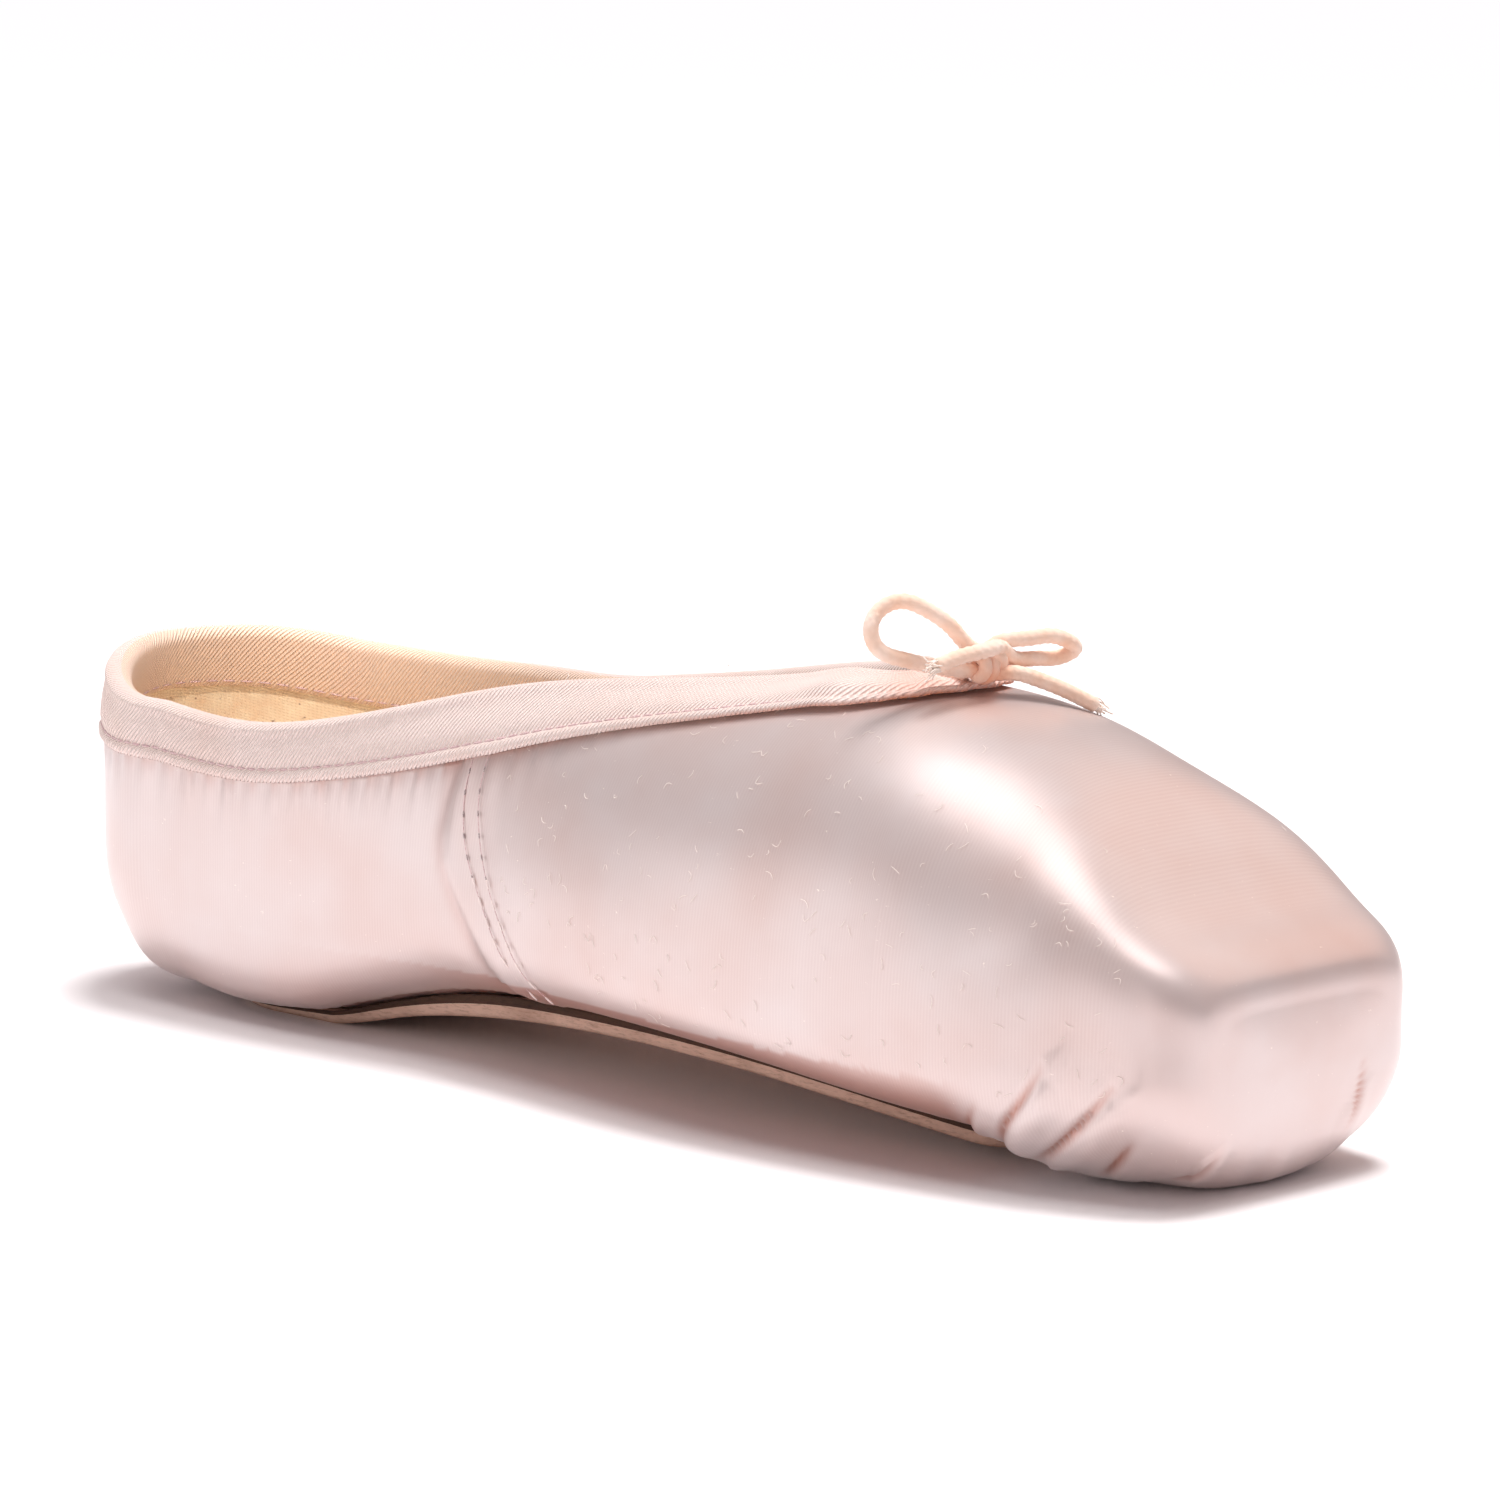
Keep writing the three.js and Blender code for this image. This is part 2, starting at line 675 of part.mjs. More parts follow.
const pieces = [
  ["outsole", outsoleGeometry(), finish("#c39a74", 0.8)],
  ["upper", upperGeometry(), finish("#ecd2cc", 0.35)],
  ["insole", insoleGeometry(), finish("#e3d2bd", 0.85)],
  ["binding", bindingGeometry(), finish("#f6dfd3", 0.75)],
  ["drawstring_left_loop", cordGeometry(LEFT_LOOP), finish("#f8e2d6", 0.8)],
  ["drawstring_left_tail", cordGeometry(LEFT_TAIL), finish("#f8e2d6", 0.8)],
  ["drawstring_right_loop", cordGeometry(RIGHT_LOOP), finish("#f8e2d6", 0.8)],
  ["drawstring_right_tail", cordGeometry(RIGHT_TAIL), finish("#f8e2d6", 0.8)],
  ["drawstring_knot", knotGeometry(), finish("#f8e2d6", 0.8)],
];

const group = new THREE.Group();
for (const [name, geometry, material] of pieces) {
  const mesh = new THREE.Mesh(geometry, material);
  mesh.name = name;
  group.add(mesh);
}

export default group;
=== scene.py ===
"""A pale pink satin pointe shoe on a white studio floor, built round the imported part.

Lengths in tables and fields are millimetres on the last, where "at" is the distance from the
back of the heel. Meshes, lights and the camera are in metres, in the frame of the part.
"""

import logging
import math
from collections.abc import Callable, Iterable, Sequence
from dataclasses import dataclass, field
from enum import Enum
from typing import Any

import bmesh
import bpy
import numpy as np
from mathutils import Matrix, Vector


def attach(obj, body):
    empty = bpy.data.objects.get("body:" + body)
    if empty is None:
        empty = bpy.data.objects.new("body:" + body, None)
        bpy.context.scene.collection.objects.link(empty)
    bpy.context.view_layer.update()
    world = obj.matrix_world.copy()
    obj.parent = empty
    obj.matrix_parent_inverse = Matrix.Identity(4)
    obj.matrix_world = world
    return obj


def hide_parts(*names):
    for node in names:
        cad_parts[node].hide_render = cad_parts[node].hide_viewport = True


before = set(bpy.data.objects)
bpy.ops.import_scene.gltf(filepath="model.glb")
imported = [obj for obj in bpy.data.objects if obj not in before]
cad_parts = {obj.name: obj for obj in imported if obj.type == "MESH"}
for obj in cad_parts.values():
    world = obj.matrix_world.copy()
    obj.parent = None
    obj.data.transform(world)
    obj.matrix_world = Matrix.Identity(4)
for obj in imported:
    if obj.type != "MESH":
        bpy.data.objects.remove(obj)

LOG = logging.getLogger("pointe_shoe")
MM = 0.001
QUARTER = math.pi / 2
Array = np.ndarray
Point = tuple[float, float, float]
Table = tuple[tuple[float, ...], ...]
Material = bpy.types.Material
Object = bpy.types.Object


class Side(Enum):
    """The two halves of the shoe, by the sign of Y."""

    NEAR = -1
    FAR = 1


class Source(Enum):
    """The coordinates that a texture reads."""

    OBJECT = "Object"
    PATTERN = "pattern"


def clamp(x: Array | float, low: float, high: float) -> Array:
    """Keeps x between low and high."""
    return np.minimum(np.maximum(x, low), high)


def mix(a: Any, b: Any, share: Any) -> Any:
    """The value at a share of the way from a to b."""
    return a + (b - a) * share


def smooth_step(x: Array | float, start: float, end: float) -> Array:
    """0 up to start and 1 from end, with a smooth rise between them."""
    t = clamp((np.asarray(x, float) - start) / (end - start), 0, 1)
    return t * t * (3 - 2 * t)


def bell(x: Array, width: float) -> Array:
    """A smooth bump, 1 at 0 and a third of that at the width."""
    return np.exp(-((x / width) ** 2))


def crowded(count: int, share: float) -> Array:
    """Values from 0 to 1 that crowd towards both ends by that share."""
    even = np.linspace(0, 1, count)
    return mix(even, (1 - np.cos(math.pi * even)) / 2, share)


def rounded_end(into: Array | float, length: float, power: float = 2) -> Array:
    """Share of the full width at a distance into a rounded end of that length."""
    return (1 - (1 - clamp(np.asarray(into, float) / length, 0, 1)) ** power) ** (1 / power)


def gauge(out: Array, rise: Array, width: Array, reach: Array, power: Array) -> Array:
    """How far a point lies out on superellipses round the middle: 1 is on the curve itself."""
    return ((np.abs(out) / width) ** power + (np.abs(rise) / reach) ** power) ** (1 / power)


def wobble(x: Array, seed: float) -> Array:
    """A smooth irregular wave between about -1 and 1, the same on each run."""
    waves = ((1, 1, 1), (0.6, 2.31, 1.7), (0.4, 4.13, 2.9))
    return sum(size * np.sin(pace * x + shift * seed) for size, pace, shift in waves) / 2


def unit(vectors: Array) -> Array:
    """The vectors at length 1."""
    return vectors / np.linalg.norm(vectors, axis=-1, keepdims=True)


def columns(spots: Any) -> Array:
    """The three coordinates of an array of points, one after the other."""
    return np.moveaxis(np.asarray(spots, float), -1, 0)


def arc_lengths(points: Array, axis: int = 0) -> Array:
    """Distance along an array of points from its first row or column."""
    step = np.linalg.norm(np.diff(points, axis=axis), axis=-1)
    start = np.zeros_like(np.take(step, [0], axis))
    return np.concatenate([start, np.cumsum(step, axis)], axis)


def along_chain(chain: Array, where: Array) -> Array:
    """Points at distances along a chain of straight pieces."""
    gone = arc_lengths(chain)
    return np.stack([np.interp(where, gone, column) for column in chain.T], -1)


class Spline:
    """Natural cubic spline."""

    def __init__(self, x: Array, y: Array) -> None:
        """Fits the spline through heights y at the rising places x."""
        self.x = x
        self.y = y
        count = len(x)
        left = np.eye(count)
        right = np.zeros(count)
        step = np.diff(x)
        slope = np.diff(y) / step
        for i in range(1, count - 1):
            left[i, i - 1 : i + 2] = step[i - 1], 2 * (step[i - 1] + step[i]), step[i]
            right[i] = 6 * (slope[i] - slope[i - 1])
        self.bend = np.linalg.solve(left, right)

    def __call__(self, wanted: Array | float) -> Array:
        """The height at the wanted places, held at both ends."""
        x = clamp(np.asarray(wanted, float), self.x[0], self.x[-1])
        i = np.clip(np.searchsorted(self.x, x, side="right") - 1, 0, len(self.x) - 2)
        step = self.x[i + 1] - self.x[i]
        a = (self.x[i + 1] - x) / step
        b = (x - self.x[i]) / step
        curve = (a**3 - a) * self.bend[i] + (b**3 - b) * self.bend[i + 1]
        return a * self.y[i] + b * self.y[i + 1] + curve * step * step / 6


def splines(rows: Table) -> list[Spline]:
    """A spline for each column of a table after its first."""
    at, *rest = np.array(rows, float).T
    return [Spline(at, column) for column in rest]


def smooth_line(points: Array, count: int) -> Array:
    """A smooth line of so many points through a few given ones."""
    gone = arc_lengths(points)
    where = np.linspace(0, gone[-1], count)
    return np.stack([Spline(gone, column)(where) for column in points.T], -1)


def distance_to_line(points: Array, line: Array) -> tuple[Array, Array]:
    """How far points lie from a chain of straight pieces.

    Args:
        points: any array of points.
        line: the chain's corners, one row each.

    Returns:
        The distances, and the share of the chain's length at the nearest spots.
    """
    best = np.full(points.shape[:-1], np.inf)
    share = np.zeros(points.shape[:-1])
    gone = arc_lengths(line)
    for start, end, before, length in zip(line[:-1], line[1:], gone, np.diff(gone)):
        way = (end - start) / length
        along = clamp((points - start) @ way, 0, length)
        away = np.linalg.norm(points - start - along[..., None] * way, axis=-1)
        share = np.where(away < best, (before + along) / gone[-1], share)
        best = np.minimum(best, away)
    return best, share


@dataclass
class Section:
    """Cross sections of the last, each field an array with one value a section."""

    half: Array
    widest: Array
    bottom: Array
    top: Array
    low: Array
    high: Array
    opening: Array
    slack: Array

    def spread(self) -> "Section":
        """The same sections as columns, ready to meet a row of angles."""
        return Section(*(np.asarray(v, float)[:, None] for v in vars(self).values()))

    def curve(self, above: Array) -> tuple[Array, Array]:
        """Reach and power of the upper half of each section, or of the lower one."""
        reach = np.where(above, self.top - self.widest, self.widest - self.bottom)
        return reach, np.where(above, self.high, self.low)

    def point(self, angle: Array, inset: Array | float = 0) -> tuple[Array, Array]:
        """Distance out and height at angles from the widest height, with the curve drawn in."""
        above = angle >= 0
        reach, power = self.curve(above)
        rise = (reach - inset) * np.abs(np.sin(angle)) ** (2 / power)
        out = (self.half - inset) * np.abs(np.cos(angle)) ** (2 / power)
        return out, self.widest + np.where(above, rise, -rise)

    def even_angles(self, low: Array | float, high: Array | float, shares: Array) -> Array:
        """Angles that spread points evenly along each section between two angles.

        Args:
            low: the lower angle, one for all or a column with one a section.
            high: the upper one.
            shares: shares of the way along the curve.

        Returns:
            The angles, a row for each section.
        """
        fine = mix(low, high, crowded(241, 0.7)[None, :]) + 0 * self.half
        gone = arc_lengths(np.stack(self.point(fine), -1), 1)
        gone /= gone[:, -1:]
        return np.stack([np.interp(shares, g, f) for g, f in zip(gone, fine)])

    def top_angle(self) -> Array:
        """The angle of the collar's edge, or straight up where the upper is closed."""
        share = clamp(self.opening / self.half, 0, 1)
        return np.arccos(share ** (self.high / 2))

    def edge(self) -> tuple[Array, Array]:
        """Distance out and height of the collar's edge."""
        return self.point(self.top_angle())

    def slack_at(self, height: Array, start: float = 8, power: float = 1.5) -> Array:
        """How much the collar's slack moves a point: nothing below start, all at the edge."""
        return self.slack * clamp((height - start) / (self.edge()[1] - start), 0, 1) ** power


@dataclass
class Sole:
    """The leather sole's outline and underside."""

    start: float = 29
    end: float = 199.5
    heel_round: tuple[float, float] = (16, 2.2)
    toe_round: tuple[float, float] = (9, 2.6)
    rows: Table = (
        # at, half width, height of the underside
        (30, 17.4, 0),
        (44, 17.6, 0),
        (58, 17.6, 0),
        (72, 17.6, 2.9),
        (88, 17.8, 5.5),
        (114, 19.0, 7.2),
        (142, 21.0, 7.1),
        (166, 21.5, 5.5),
        (188, 19.8, 2.9),
        (199.5, 19.4, 1.9),
    )

    def __post_init__(self) -> None:
        """Fits the splines."""
        self._width, self._under = splines(self.rows)

    def half_width(self, s: Array) -> Array:
        """Half the sole's width at a place along it."""
        heel = rounded_end(s - self.start, *self.heel_round)
        return self._width(s) * heel * rounded_end(self.end - s, *self.toe_round)

    def underside(self, s: Array) -> Array:
        """Height of the sole's underside."""
        return np.maximum(self._under(s), 0)


@dataclass
class Last:
    """The straight last that the shoe is made on."""

    length: float = 236.8
    heel_round: float = 26.4
    lean_back: float = 0.03
    platform_edge: float = 9.6
    platform_dome: float = 0.8
    platform_tip: float = 1.4
    platform_middle: float = 16
    tip_length: float = 40
    heel_underside: float = 1.1
    heel_bulge: tuple[float, float] = (40, 68)
    toe_drop: tuple[float, float] = (197, 211)
    toe_underside: float = -0.6
    wall: float = 1.8
    gap: float = 0.35
    throat: float = 168
    throat_round: float = 8
    sole_thick: float = 2.3
    insole_thick: float = 2.0
    margin: float = 8
    cut: tuple[float, float] = (38, 187)
    cut_round: float = 10
    origin: float = 117.1
    rows: Table = (
        # at, half width, widest height, top, low power, top power, half opening, slack
        (30, 28.2, 21.1, 77.8, 3.7, 2.53, 26.4, 2.0),
        (58, 29.5, 21.6, 73.8, 5.4, 2.5, 27.2, 2.1),
        (86, 28.8, 24.0, 67.8, 3.2, 2.1, 22.7, -0.3),
        (114, 31.8, 24.7, 62.8, 3.2, 2.07, 17.0, -1.0),
        (142, 36.3, 23.1, 63.1, 3.2, 2.15, 11.3, 0),
        (166, 37.4, 20.6, 64.6, 3.1, 2.2, 7.0, 0),
        (188, 36.5, 18.9, 62.0, 2.9, 2.4, 7.0, 0),
        (208, 34.7, 18.8, 54.0, 2.6, 2.7, 7.0, 0),
        (227, 28.9, 18.3, 36.3, 2.25, 6.0, 7.0, 0),
    )
    back_widest: float = 29.6
    back_top: float = 67.7
    back_low: float = 2.0
    back_high: float = 2.95
    back_opening: float = 24.3
    fan: float = 1.86
    sole: Sole = field(default_factory=Sole)

    def __post_init__(self) -> None:
        """Fits the splines."""
        self._columns = splines(self.rows)

    @property
    def end(self) -> float:
        """Where the platform's rounded edge starts."""
        return self.length - self.platform_dome - self.platform_edge

    def underside(self, s: Array) -> Array:
        """Height of the upper's underside in the middle."""
        over = self.sole.underside(s) + self.sole_thick + self.gap
        over = mix(self.heel_underside, over, smooth_step(s, *self.heel_bulge))
        return mix(over, self.toe_underside, smooth_step(s, *self.toe_drop))

    def body(self, s: Array) -> Section:
        """Sections square to the last at the places s."""
        s = np.asarray(s, float)
        at = np.minimum(s, self.end)
        half, widest, top, low, high, opening, slack = (c(at) for c in self._columns)
        is_open = s < self.throat
        opening = opening * np.where(is_open, rounded_end(self.throat - s, self.throat_round), 0)
        slack = np.where(is_open, slack, 0)
        return Section(half, widest, self.underside(at), top, low, high, opening, slack)

    def heel(self, turn: Array) -> Section:
        """Sections that fan round the heel, turn 0 square to the last and a right angle back."""
        turn = np.asarray(turn, float)
        side = self.body(np.full_like(turn, self.heel_round))
        back = np.sin(turn) ** 2

        def reach(across: Array, behind: float) -> Array:
            return 1 / gauge(np.cos(turn), np.sin(turn), across, behind, self.fan)

        return Section(
            reach(side.half, self.heel_round),
            mix(side.widest, self.back_widest, back),
            side.bottom,
            mix(side.top, self.back_top, back),
            mix(side.low, self.back_low, back),
            mix(side.high, self.back_high, back),
            reach(side.opening, self.back_opening),
            side.slack * (1 - back),
        )

    def over(self, s: Array, across: Array) -> tuple[Section, Array, Array]:
        """The section that each place belongs to.

        Args:
            s: places along the last.
            across: distances from its middle line.

        Returns:
            The sections, how far out in them the places lie, and their turns round the heel.
        """
        s, across = np.broadcast_arrays(np.asarray(s, float), np.asarray(across, float))
        behind = s < self.heel_round
        turn = np.where(behind, np.arctan2(self.heel_round - s, np.abs(across)), 0)
        body = vars(self.body(np.maximum(s, self.heel_round)))
        heel = vars(self.heel(turn))
        out = np.where(behind, np.hypot(self.heel_round - s, across), np.abs(across))
        return Section(*(np.where(behind, heel[k], body[k]) for k in body)), out, turn

    def place(self, s: Array, across: Array, height: Array, slack: Array | float = 0) -> Array:
        """Points of the part for places on or near the last, the platform tilted forwards."""
        share = clamp((s - (self.length - self.tip_length)) / self.tip_length, 0, 1) ** 2
        tilt = self.platform_tip * share * (height - self.platform_middle) / self.platform_middle
        x = s - self.lean_back * height + tilt - self.origin
        return np.stack(np.broadcast_arrays(x, across, height + np.sign(across) * slack), -1)

    def along(self, points: Array) -> Array:
        """How far along the last points of the part lie."""
        return points[..., 0] + self.origin + self.lean_back * points[..., 2]

    def on_last(self, spots: Array) -> Array:
        """Points of the part for (s, across, height) rows."""
        s, across, height = columns(spots)
        section, _, _ = self.over(s, across)
        return self.place(s, across, height, section.slack_at(height))

    def on_skin(self, spots: Array, inset: Array | float) -> Array:
        """The spots moved along their rays from the middle to the skin at that inset."""
        s, across, height = columns(spots)
        section, out, turn = self.over(s, across)
        reach, power = section.curve(height >= section.widest)
        rise = height - section.widest
        grow = 1 / gauge(out, rise, section.half - inset, reach - inset, power)
        behind = s < self.heel_round
        new_s = np.where(behind, self.heel_round - out * grow * np.sin(turn), s)
        new_out = np.sign(across) * out * grow * np.where(behind, np.cos(turn), 1)
        return np.stack([new_s, new_out, section.widest + rise * grow], -1)

    def skin_gauge(self, s: Array, across: Array, height: Array) -> Array:
        """The skin's gauge: 1 on the outer skin."""
        section, out, _ = self.over(s, across)
        reach, power = section.curve(height >= section.widest)
        return gauge(out, height - section.widest, section.half, reach, power)

    def skin_normal(self, spots: Array, step: float = 0.4) -> Array:
        """Unit normals of the outer skin, in last directions."""
        spot = columns(spots)
        slope = [
            self.skin_gauge(*(k + d for k, d in zip(spot, way)))
            - self.skin_gauge(*(k - d for k, d in zip(spot, way)))
            for way in np.eye(3) * step
        ]
        return unit(np.stack(slope, -1))

    def spot_at(self, s: float, height: float, side: Side) -> Array:
        """The (s, across, height) spot on the outer skin at a height of one side."""
        section = self.body(np.array([s]))
        reach, power = section.curve(height >= section.widest)
        rise = np.abs(height - section.widest) / reach
        out = section.half * (1 - clamp(rise, 0, 1) ** power) ** (1 / power)
        return np.array([s, side.value * out[0], height])

    def spots_along(self, row: Table, side: Side) -> Array:
        """The spots on the outer skin for rows of (at, height)."""
        return np.array([self.spot_at(at, height, side) for at, height in row])

    def skin_height(self, s: Array, across: Array, inset: float) -> Array:
        """Height of the upper's underside, drawn in by inset, at places of the last."""
        section, out, _ = self.over(s, across)
        share = clamp(out / (section.half - inset), 0, 1)
        fall = (1 - share**section.low) ** (1 / section.low)
        return np.maximum(section.widest - (section.widest - section.bottom - inset) * fall, inset)

    def outsole(self, s: Array, across: Array) -> tuple[Array, Array]:
        """Heights of the outsole's top and underside."""
        return self.skin_height(s, across, 0) - self.gap, self.sole.underside(s)

    def insole(self, s: Array, across: Array) -> tuple[Array, Array]:
        """Heights of the insole's top and underside."""
        low = self.skin_height(s, across, self.wall) + self.gap
        return low + self.insole_thick, low

    def cut_half_width(self, s: Array) -> Array:
        """Half the width of the opening between the turned-in edges."""
        start, end = self.cut
        ends = rounded_end(s - start, self.cut_round) * rounded_end(end - s, self.cut_round)
        return np.where((s > start) & (s < end), (self.sole.half_width(s) - self.margin) * ends, 0)


def stand(name: str, data: Any) -> Object:
    """Adds an object with that data to the scene."""
    made = bpy.data.objects.new(name, data)
    bpy.context.collection.objects.link(made)
    return made


def settle(piece: Object, slot: str, *nodes: str) -> Object:
    """Rides a finished piece on the part, and hides the part's nodes that it stands for."""
    if nodes:
        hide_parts(*nodes)
    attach(piece, "root")
    LOG.info("%s: %d faces", piece.name, len(piece.data.polygons))
    return piece


@dataclass
class Skin:
    """A grid of points with their pattern coordinates, and how much painted shade tints each."""

    points: Array
    pattern: Array
    tint: Array | None = None


class Shell:
    """Gathers grid faces and strips, and welds them into one closed mesh."""

    def __init__(self) -> None:
        """Starts empty."""
        self.points: list[Array] = []
        self.pattern: list[Array] = []
        self.tint: list[Array] = []
        self.faces: list[Array] = []
        self.slots: list[Array] = []
        self.count = 0

    def add_grid(self, skin: Skin) -> Array:
        """Adds a grid's points, and gives the index of each."""
        rows, across = skin.points.shape[:2]
        size = rows * across
        self.points.append(skin.points.reshape(-1, 3))
        self.pattern.append(skin.pattern.reshape(-1, 2))
        self.tint.append(np.zeros(size) if skin.tint is None else skin.tint.ravel())
        self.count += size
        return np.arange(self.count - size, self.count).reshape(rows, across)

    def add_quads(self, corners: Sequence[Array], slot: int = 0, turned: bool = False) -> None:
        """Adds quads from four index arrays of the same shape."""
        quads = np.stack([np.asarray(c).ravel() for c in corners], -1)
        self.faces.append(quads[:, ::-1] if turned else quads)
        self.slots.append(np.full(len(quads), slot))

    def add_sheet(self, index: Array, slot: int = 0, turned: bool = False) -> None:
        """Adds the quads of a whole grid of point indices."""
        corners = (index[:-1, :-1], index[1:, :-1], index[1:, 1:], index[:-1, 1:])
        self.add_quads(corners, slot, turned)

    def build(self, name: str, materials: Sequence[Material]) -> Object:
        """Makes the object, with smooth faces and a UV map in metres.

        Args:
            name: the object's name.
            materials: the slots' materials, in order.

        Returns:
            The object, linked to the scene.
        """
        points = np.concatenate(self.points)
        quads = np.concatenate(self.faces)
        slots = np.concatenate(self.slots)
        _, first, weld = np.unique(
            np.round(points, 3), axis=0, return_index=True, return_inverse=True
        )
        weld = weld.reshape(-1)
        faces: list[tuple[int, ...]] = []
        corners: list[int] = []
        kept_slots: list[int] = []
        for quad, slot in zip(quads.tolist(), slots.tolist()):
            seen: dict[int, int] = {}
            for corner in quad:
                seen.setdefault(int(weld[corner]), corner)
            if len(seen) > 2:
                faces.append(tuple(seen))
                corners.extend(seen.values())
                kept_slots.append(slot)
        mesh = bpy.data.meshes.new(name)
        mesh.from_pydata((points[first] * MM).tolist(), [], faces)
        # tint: how strongly painted shade darkens each point
        tint = mesh.attributes.new("tint", "FLOAT", "POINT")
        tint.data.foreach_set("value", np.concatenate(self.tint)[first])
        layer = mesh.uv_layers.new(name=Source.PATTERN.value)
        layer.data.foreach_set("uv", (np.concatenate(self.pattern)[corners] * MM).ravel())
        mesh.polygons.foreach_set("material_index", kept_slots)
        mesh.polygons.foreach_set("use_smooth", np.ones(len(faces), bool))
        for material in materials:
            mesh.materials.append(material)
        mesh.update()
        return stand(name, mesh)


def grid_normals(points: Array, outward: Array) -> Array:
    """Unit normals of a grid of points, turned to the side that outward points to."""
    normal = np.cross(np.gradient(points, axis=0), np.gradient(points, axis=1))
    middle = np.abs(points[..., 1]) < 1e-4
    normal[..., 1] = np.where(middle, 0, normal[..., 1])
    size = np.linalg.norm(normal, axis=-1, keepdims=True)
    normal = np.where(size > 1e-9, normal / np.maximum(size, 1e-9), outward)
    flip = np.sign((normal * outward).sum(-1, keepdims=True))
    return normal * np.where(flip == 0, 1, flip)


def feed(tree: Any, node: Any, inputs: dict[Any, Any]) -> None:
    """Links or sets a node's inputs."""
    for key, value in inputs.items():
        if isinstance(value, bpy.types.NodeSocket):
            tree.links.new(value, node.inputs[key])
        else:
            node.inputs[key].default_value = value


def add_node(tree: Any, kind: str, inputs: dict[Any, Any], **settings: Any) -> Any:
    """Adds a node to a tree, with values or sockets for its inputs and its own settings."""
    made = tree.nodes.new(kind)
    for name, value in settings.items():
        setattr(made, name, value)
    feed(tree, made, inputs)
    return made


def linear(colour: str) -> tuple[float, float, float, float]:
    """A hex colour as linear red, green, blue and 1."""
    parts = [int(colour[i : i + 2], 16) / 255 for i in (1, 3, 5)]
    lit = [c / 12.92 if c <= 0.04045 else ((c + 0.055) / 1.055) ** 2.4 for c in parts]
    return (lit[0], lit[1], lit[2], 1.0)


class Graph:
    """A material's node tree, built a node at a time."""

    def __init__(self, name: str) -> None:
        """Makes the material and its surface shader."""
        self.material = bpy.data.materials.new(name)
        self.material.use_nodes = True
        self.tree = self.material.node_tree
        self.shader = self.tree.nodes["Principled BSDF"]

    def node(self, kind: str, inputs: dict[Any, Any], **settings: Any) -> Any:
        """Adds a node, its kind without the leading ShaderNode."""
        return add_node(self.tree, "ShaderNode" + kind, inputs, **settings)

    def math(self, operation: str, a: Any, b: Any = 0.0, c: Any = 0.0) -> Any:
        """The result of one sum on numbers or sockets."""
        return self.node("Math", {0: a, 1: b, 2: c}, operation=operation).outputs[0]

    def vector(self, source: Source = Source.OBJECT) -> Any:
        """The object's own coordinates, or those of the piece's pattern."""
        if source is Source.OBJECT:
            return self.node("TexCoord", {}).outputs["Object"]
        return self.node("UVMap", {}, uv_map=source.value).outputs["UV"]

    def scaled(self, source: Source, scale: Point, turn: float = 0.0) -> Any:
        """Coordinates times scale, turned about Z by so many degrees."""
        turned = (0, 0, math.radians(turn))
        inputs = {"Vector": self.vector(source), "Scale": scale, "Rotation": turned}
        return self.node("Mapping", inputs).outputs["Vector"]

    def ribs(self, pitch: float, turn: float = 0.0, way: str = "X", **uneven: float) -> Any:
        """Even ribs on the pattern.

        Args:
            pitch: from one rib to the next, in millimetres.
            turn: of the pattern, in degrees.
            way: the axis that the ribs follow one another along.
            uneven: the wave texture's Distortion and Detail.

        Returns:
            Their height between 0 and 1.
        """
        scale = 2 * math.pi / 20 / (pitch * MM)
        inputs = {"Vector": self.scaled(Source.PATTERN, (scale, scale, 1), turn), "Scale": 1.0}
        return self.node("TexWave", inputs | uneven, bands_direction=way).outputs["Fac"]

    def noise(
        self,
        scale: float | Point,
        detail: float = 3.0,
        rough: float = 0.5,
        source: Source = Source.OBJECT,
    ) -> Any:
        """A noise value between 0 and 1, at one scale or at one for each axis."""
        if isinstance(scale, tuple):
            vector, scale = self.scaled(source, scale), 1.0
        else:
            vector = self.vector(source)
        inputs = {"Vector": vector, "Scale": scale, "Detail": detail, "Roughness": rough}
        return self.node("TexNoise", inputs).outputs["Fac"]

    def spread(self, value: Any, low: float, high: float) -> Any:
        """The value's range from low to high as 0 to 1, clamped."""
        inputs = {"Value": value, "From Min": low, "From Max": high}
        return self.node("MapRange", inputs).outputs["Result"]

    def blend(self, share: Any, base: Any, colour: str) -> Any:
        """The base, a hex colour or a socket, with a share of another colour."""
        first = linear(base) if isinstance(base, str) else base
        inputs = {0: share, 6: first, 7: linear(colour)}
        return self.node("Mix", inputs, data_type="RGBA").outputs[2]

    def tone(self, base: Any, value: Any, low: float, high: float, colour: str) -> Any:
        """The base, turned to a colour as the value goes from low to high."""
        return self.blend(self.spread(value, low, high), base, colour)

    def painted_shade(self, base: Any, colour: str) -> Any:
        """The base with a colour of painted shade, as strong as the piece's tint attribute says."""
        tint = self.node("Attribute", {}, attribute_name="tint").outputs["Fac"]
        return self.blend(tint, base, colour)

    def bump(self, height: Any, depth: float, strength: float, under: Any = None) -> Any:
        """A bump normal of that depth in metres, on top of another one."""
        inputs = {"Height": height, "Distance": depth, "Strength": strength}
        if under is not None:
            inputs["Normal"] = under
        return self.node("Bump", inputs).outputs["Normal"]

    def finish(self, colour: Any, roughness: Any, normal: Any = None, **constants: Any) -> Material:
        """Sets the surface shader's sockets.

        Args:
            colour: base colour, a socket or a value.
            roughness: a socket or a number.
            normal: a bump normal.
            constants: other sockets' plain values, with underscores for spaces.

        Returns:
            The material.
        """
        inputs = {"Base Color": colour, "Roughness": roughness}
        if normal is not None:
            inputs["Normal"] = normal
        feed(self.tree, self.shader, inputs)
        feed(self.tree, self.shader, {k.replace("_", " "): v for k, v in constants.items()})
        return self.material


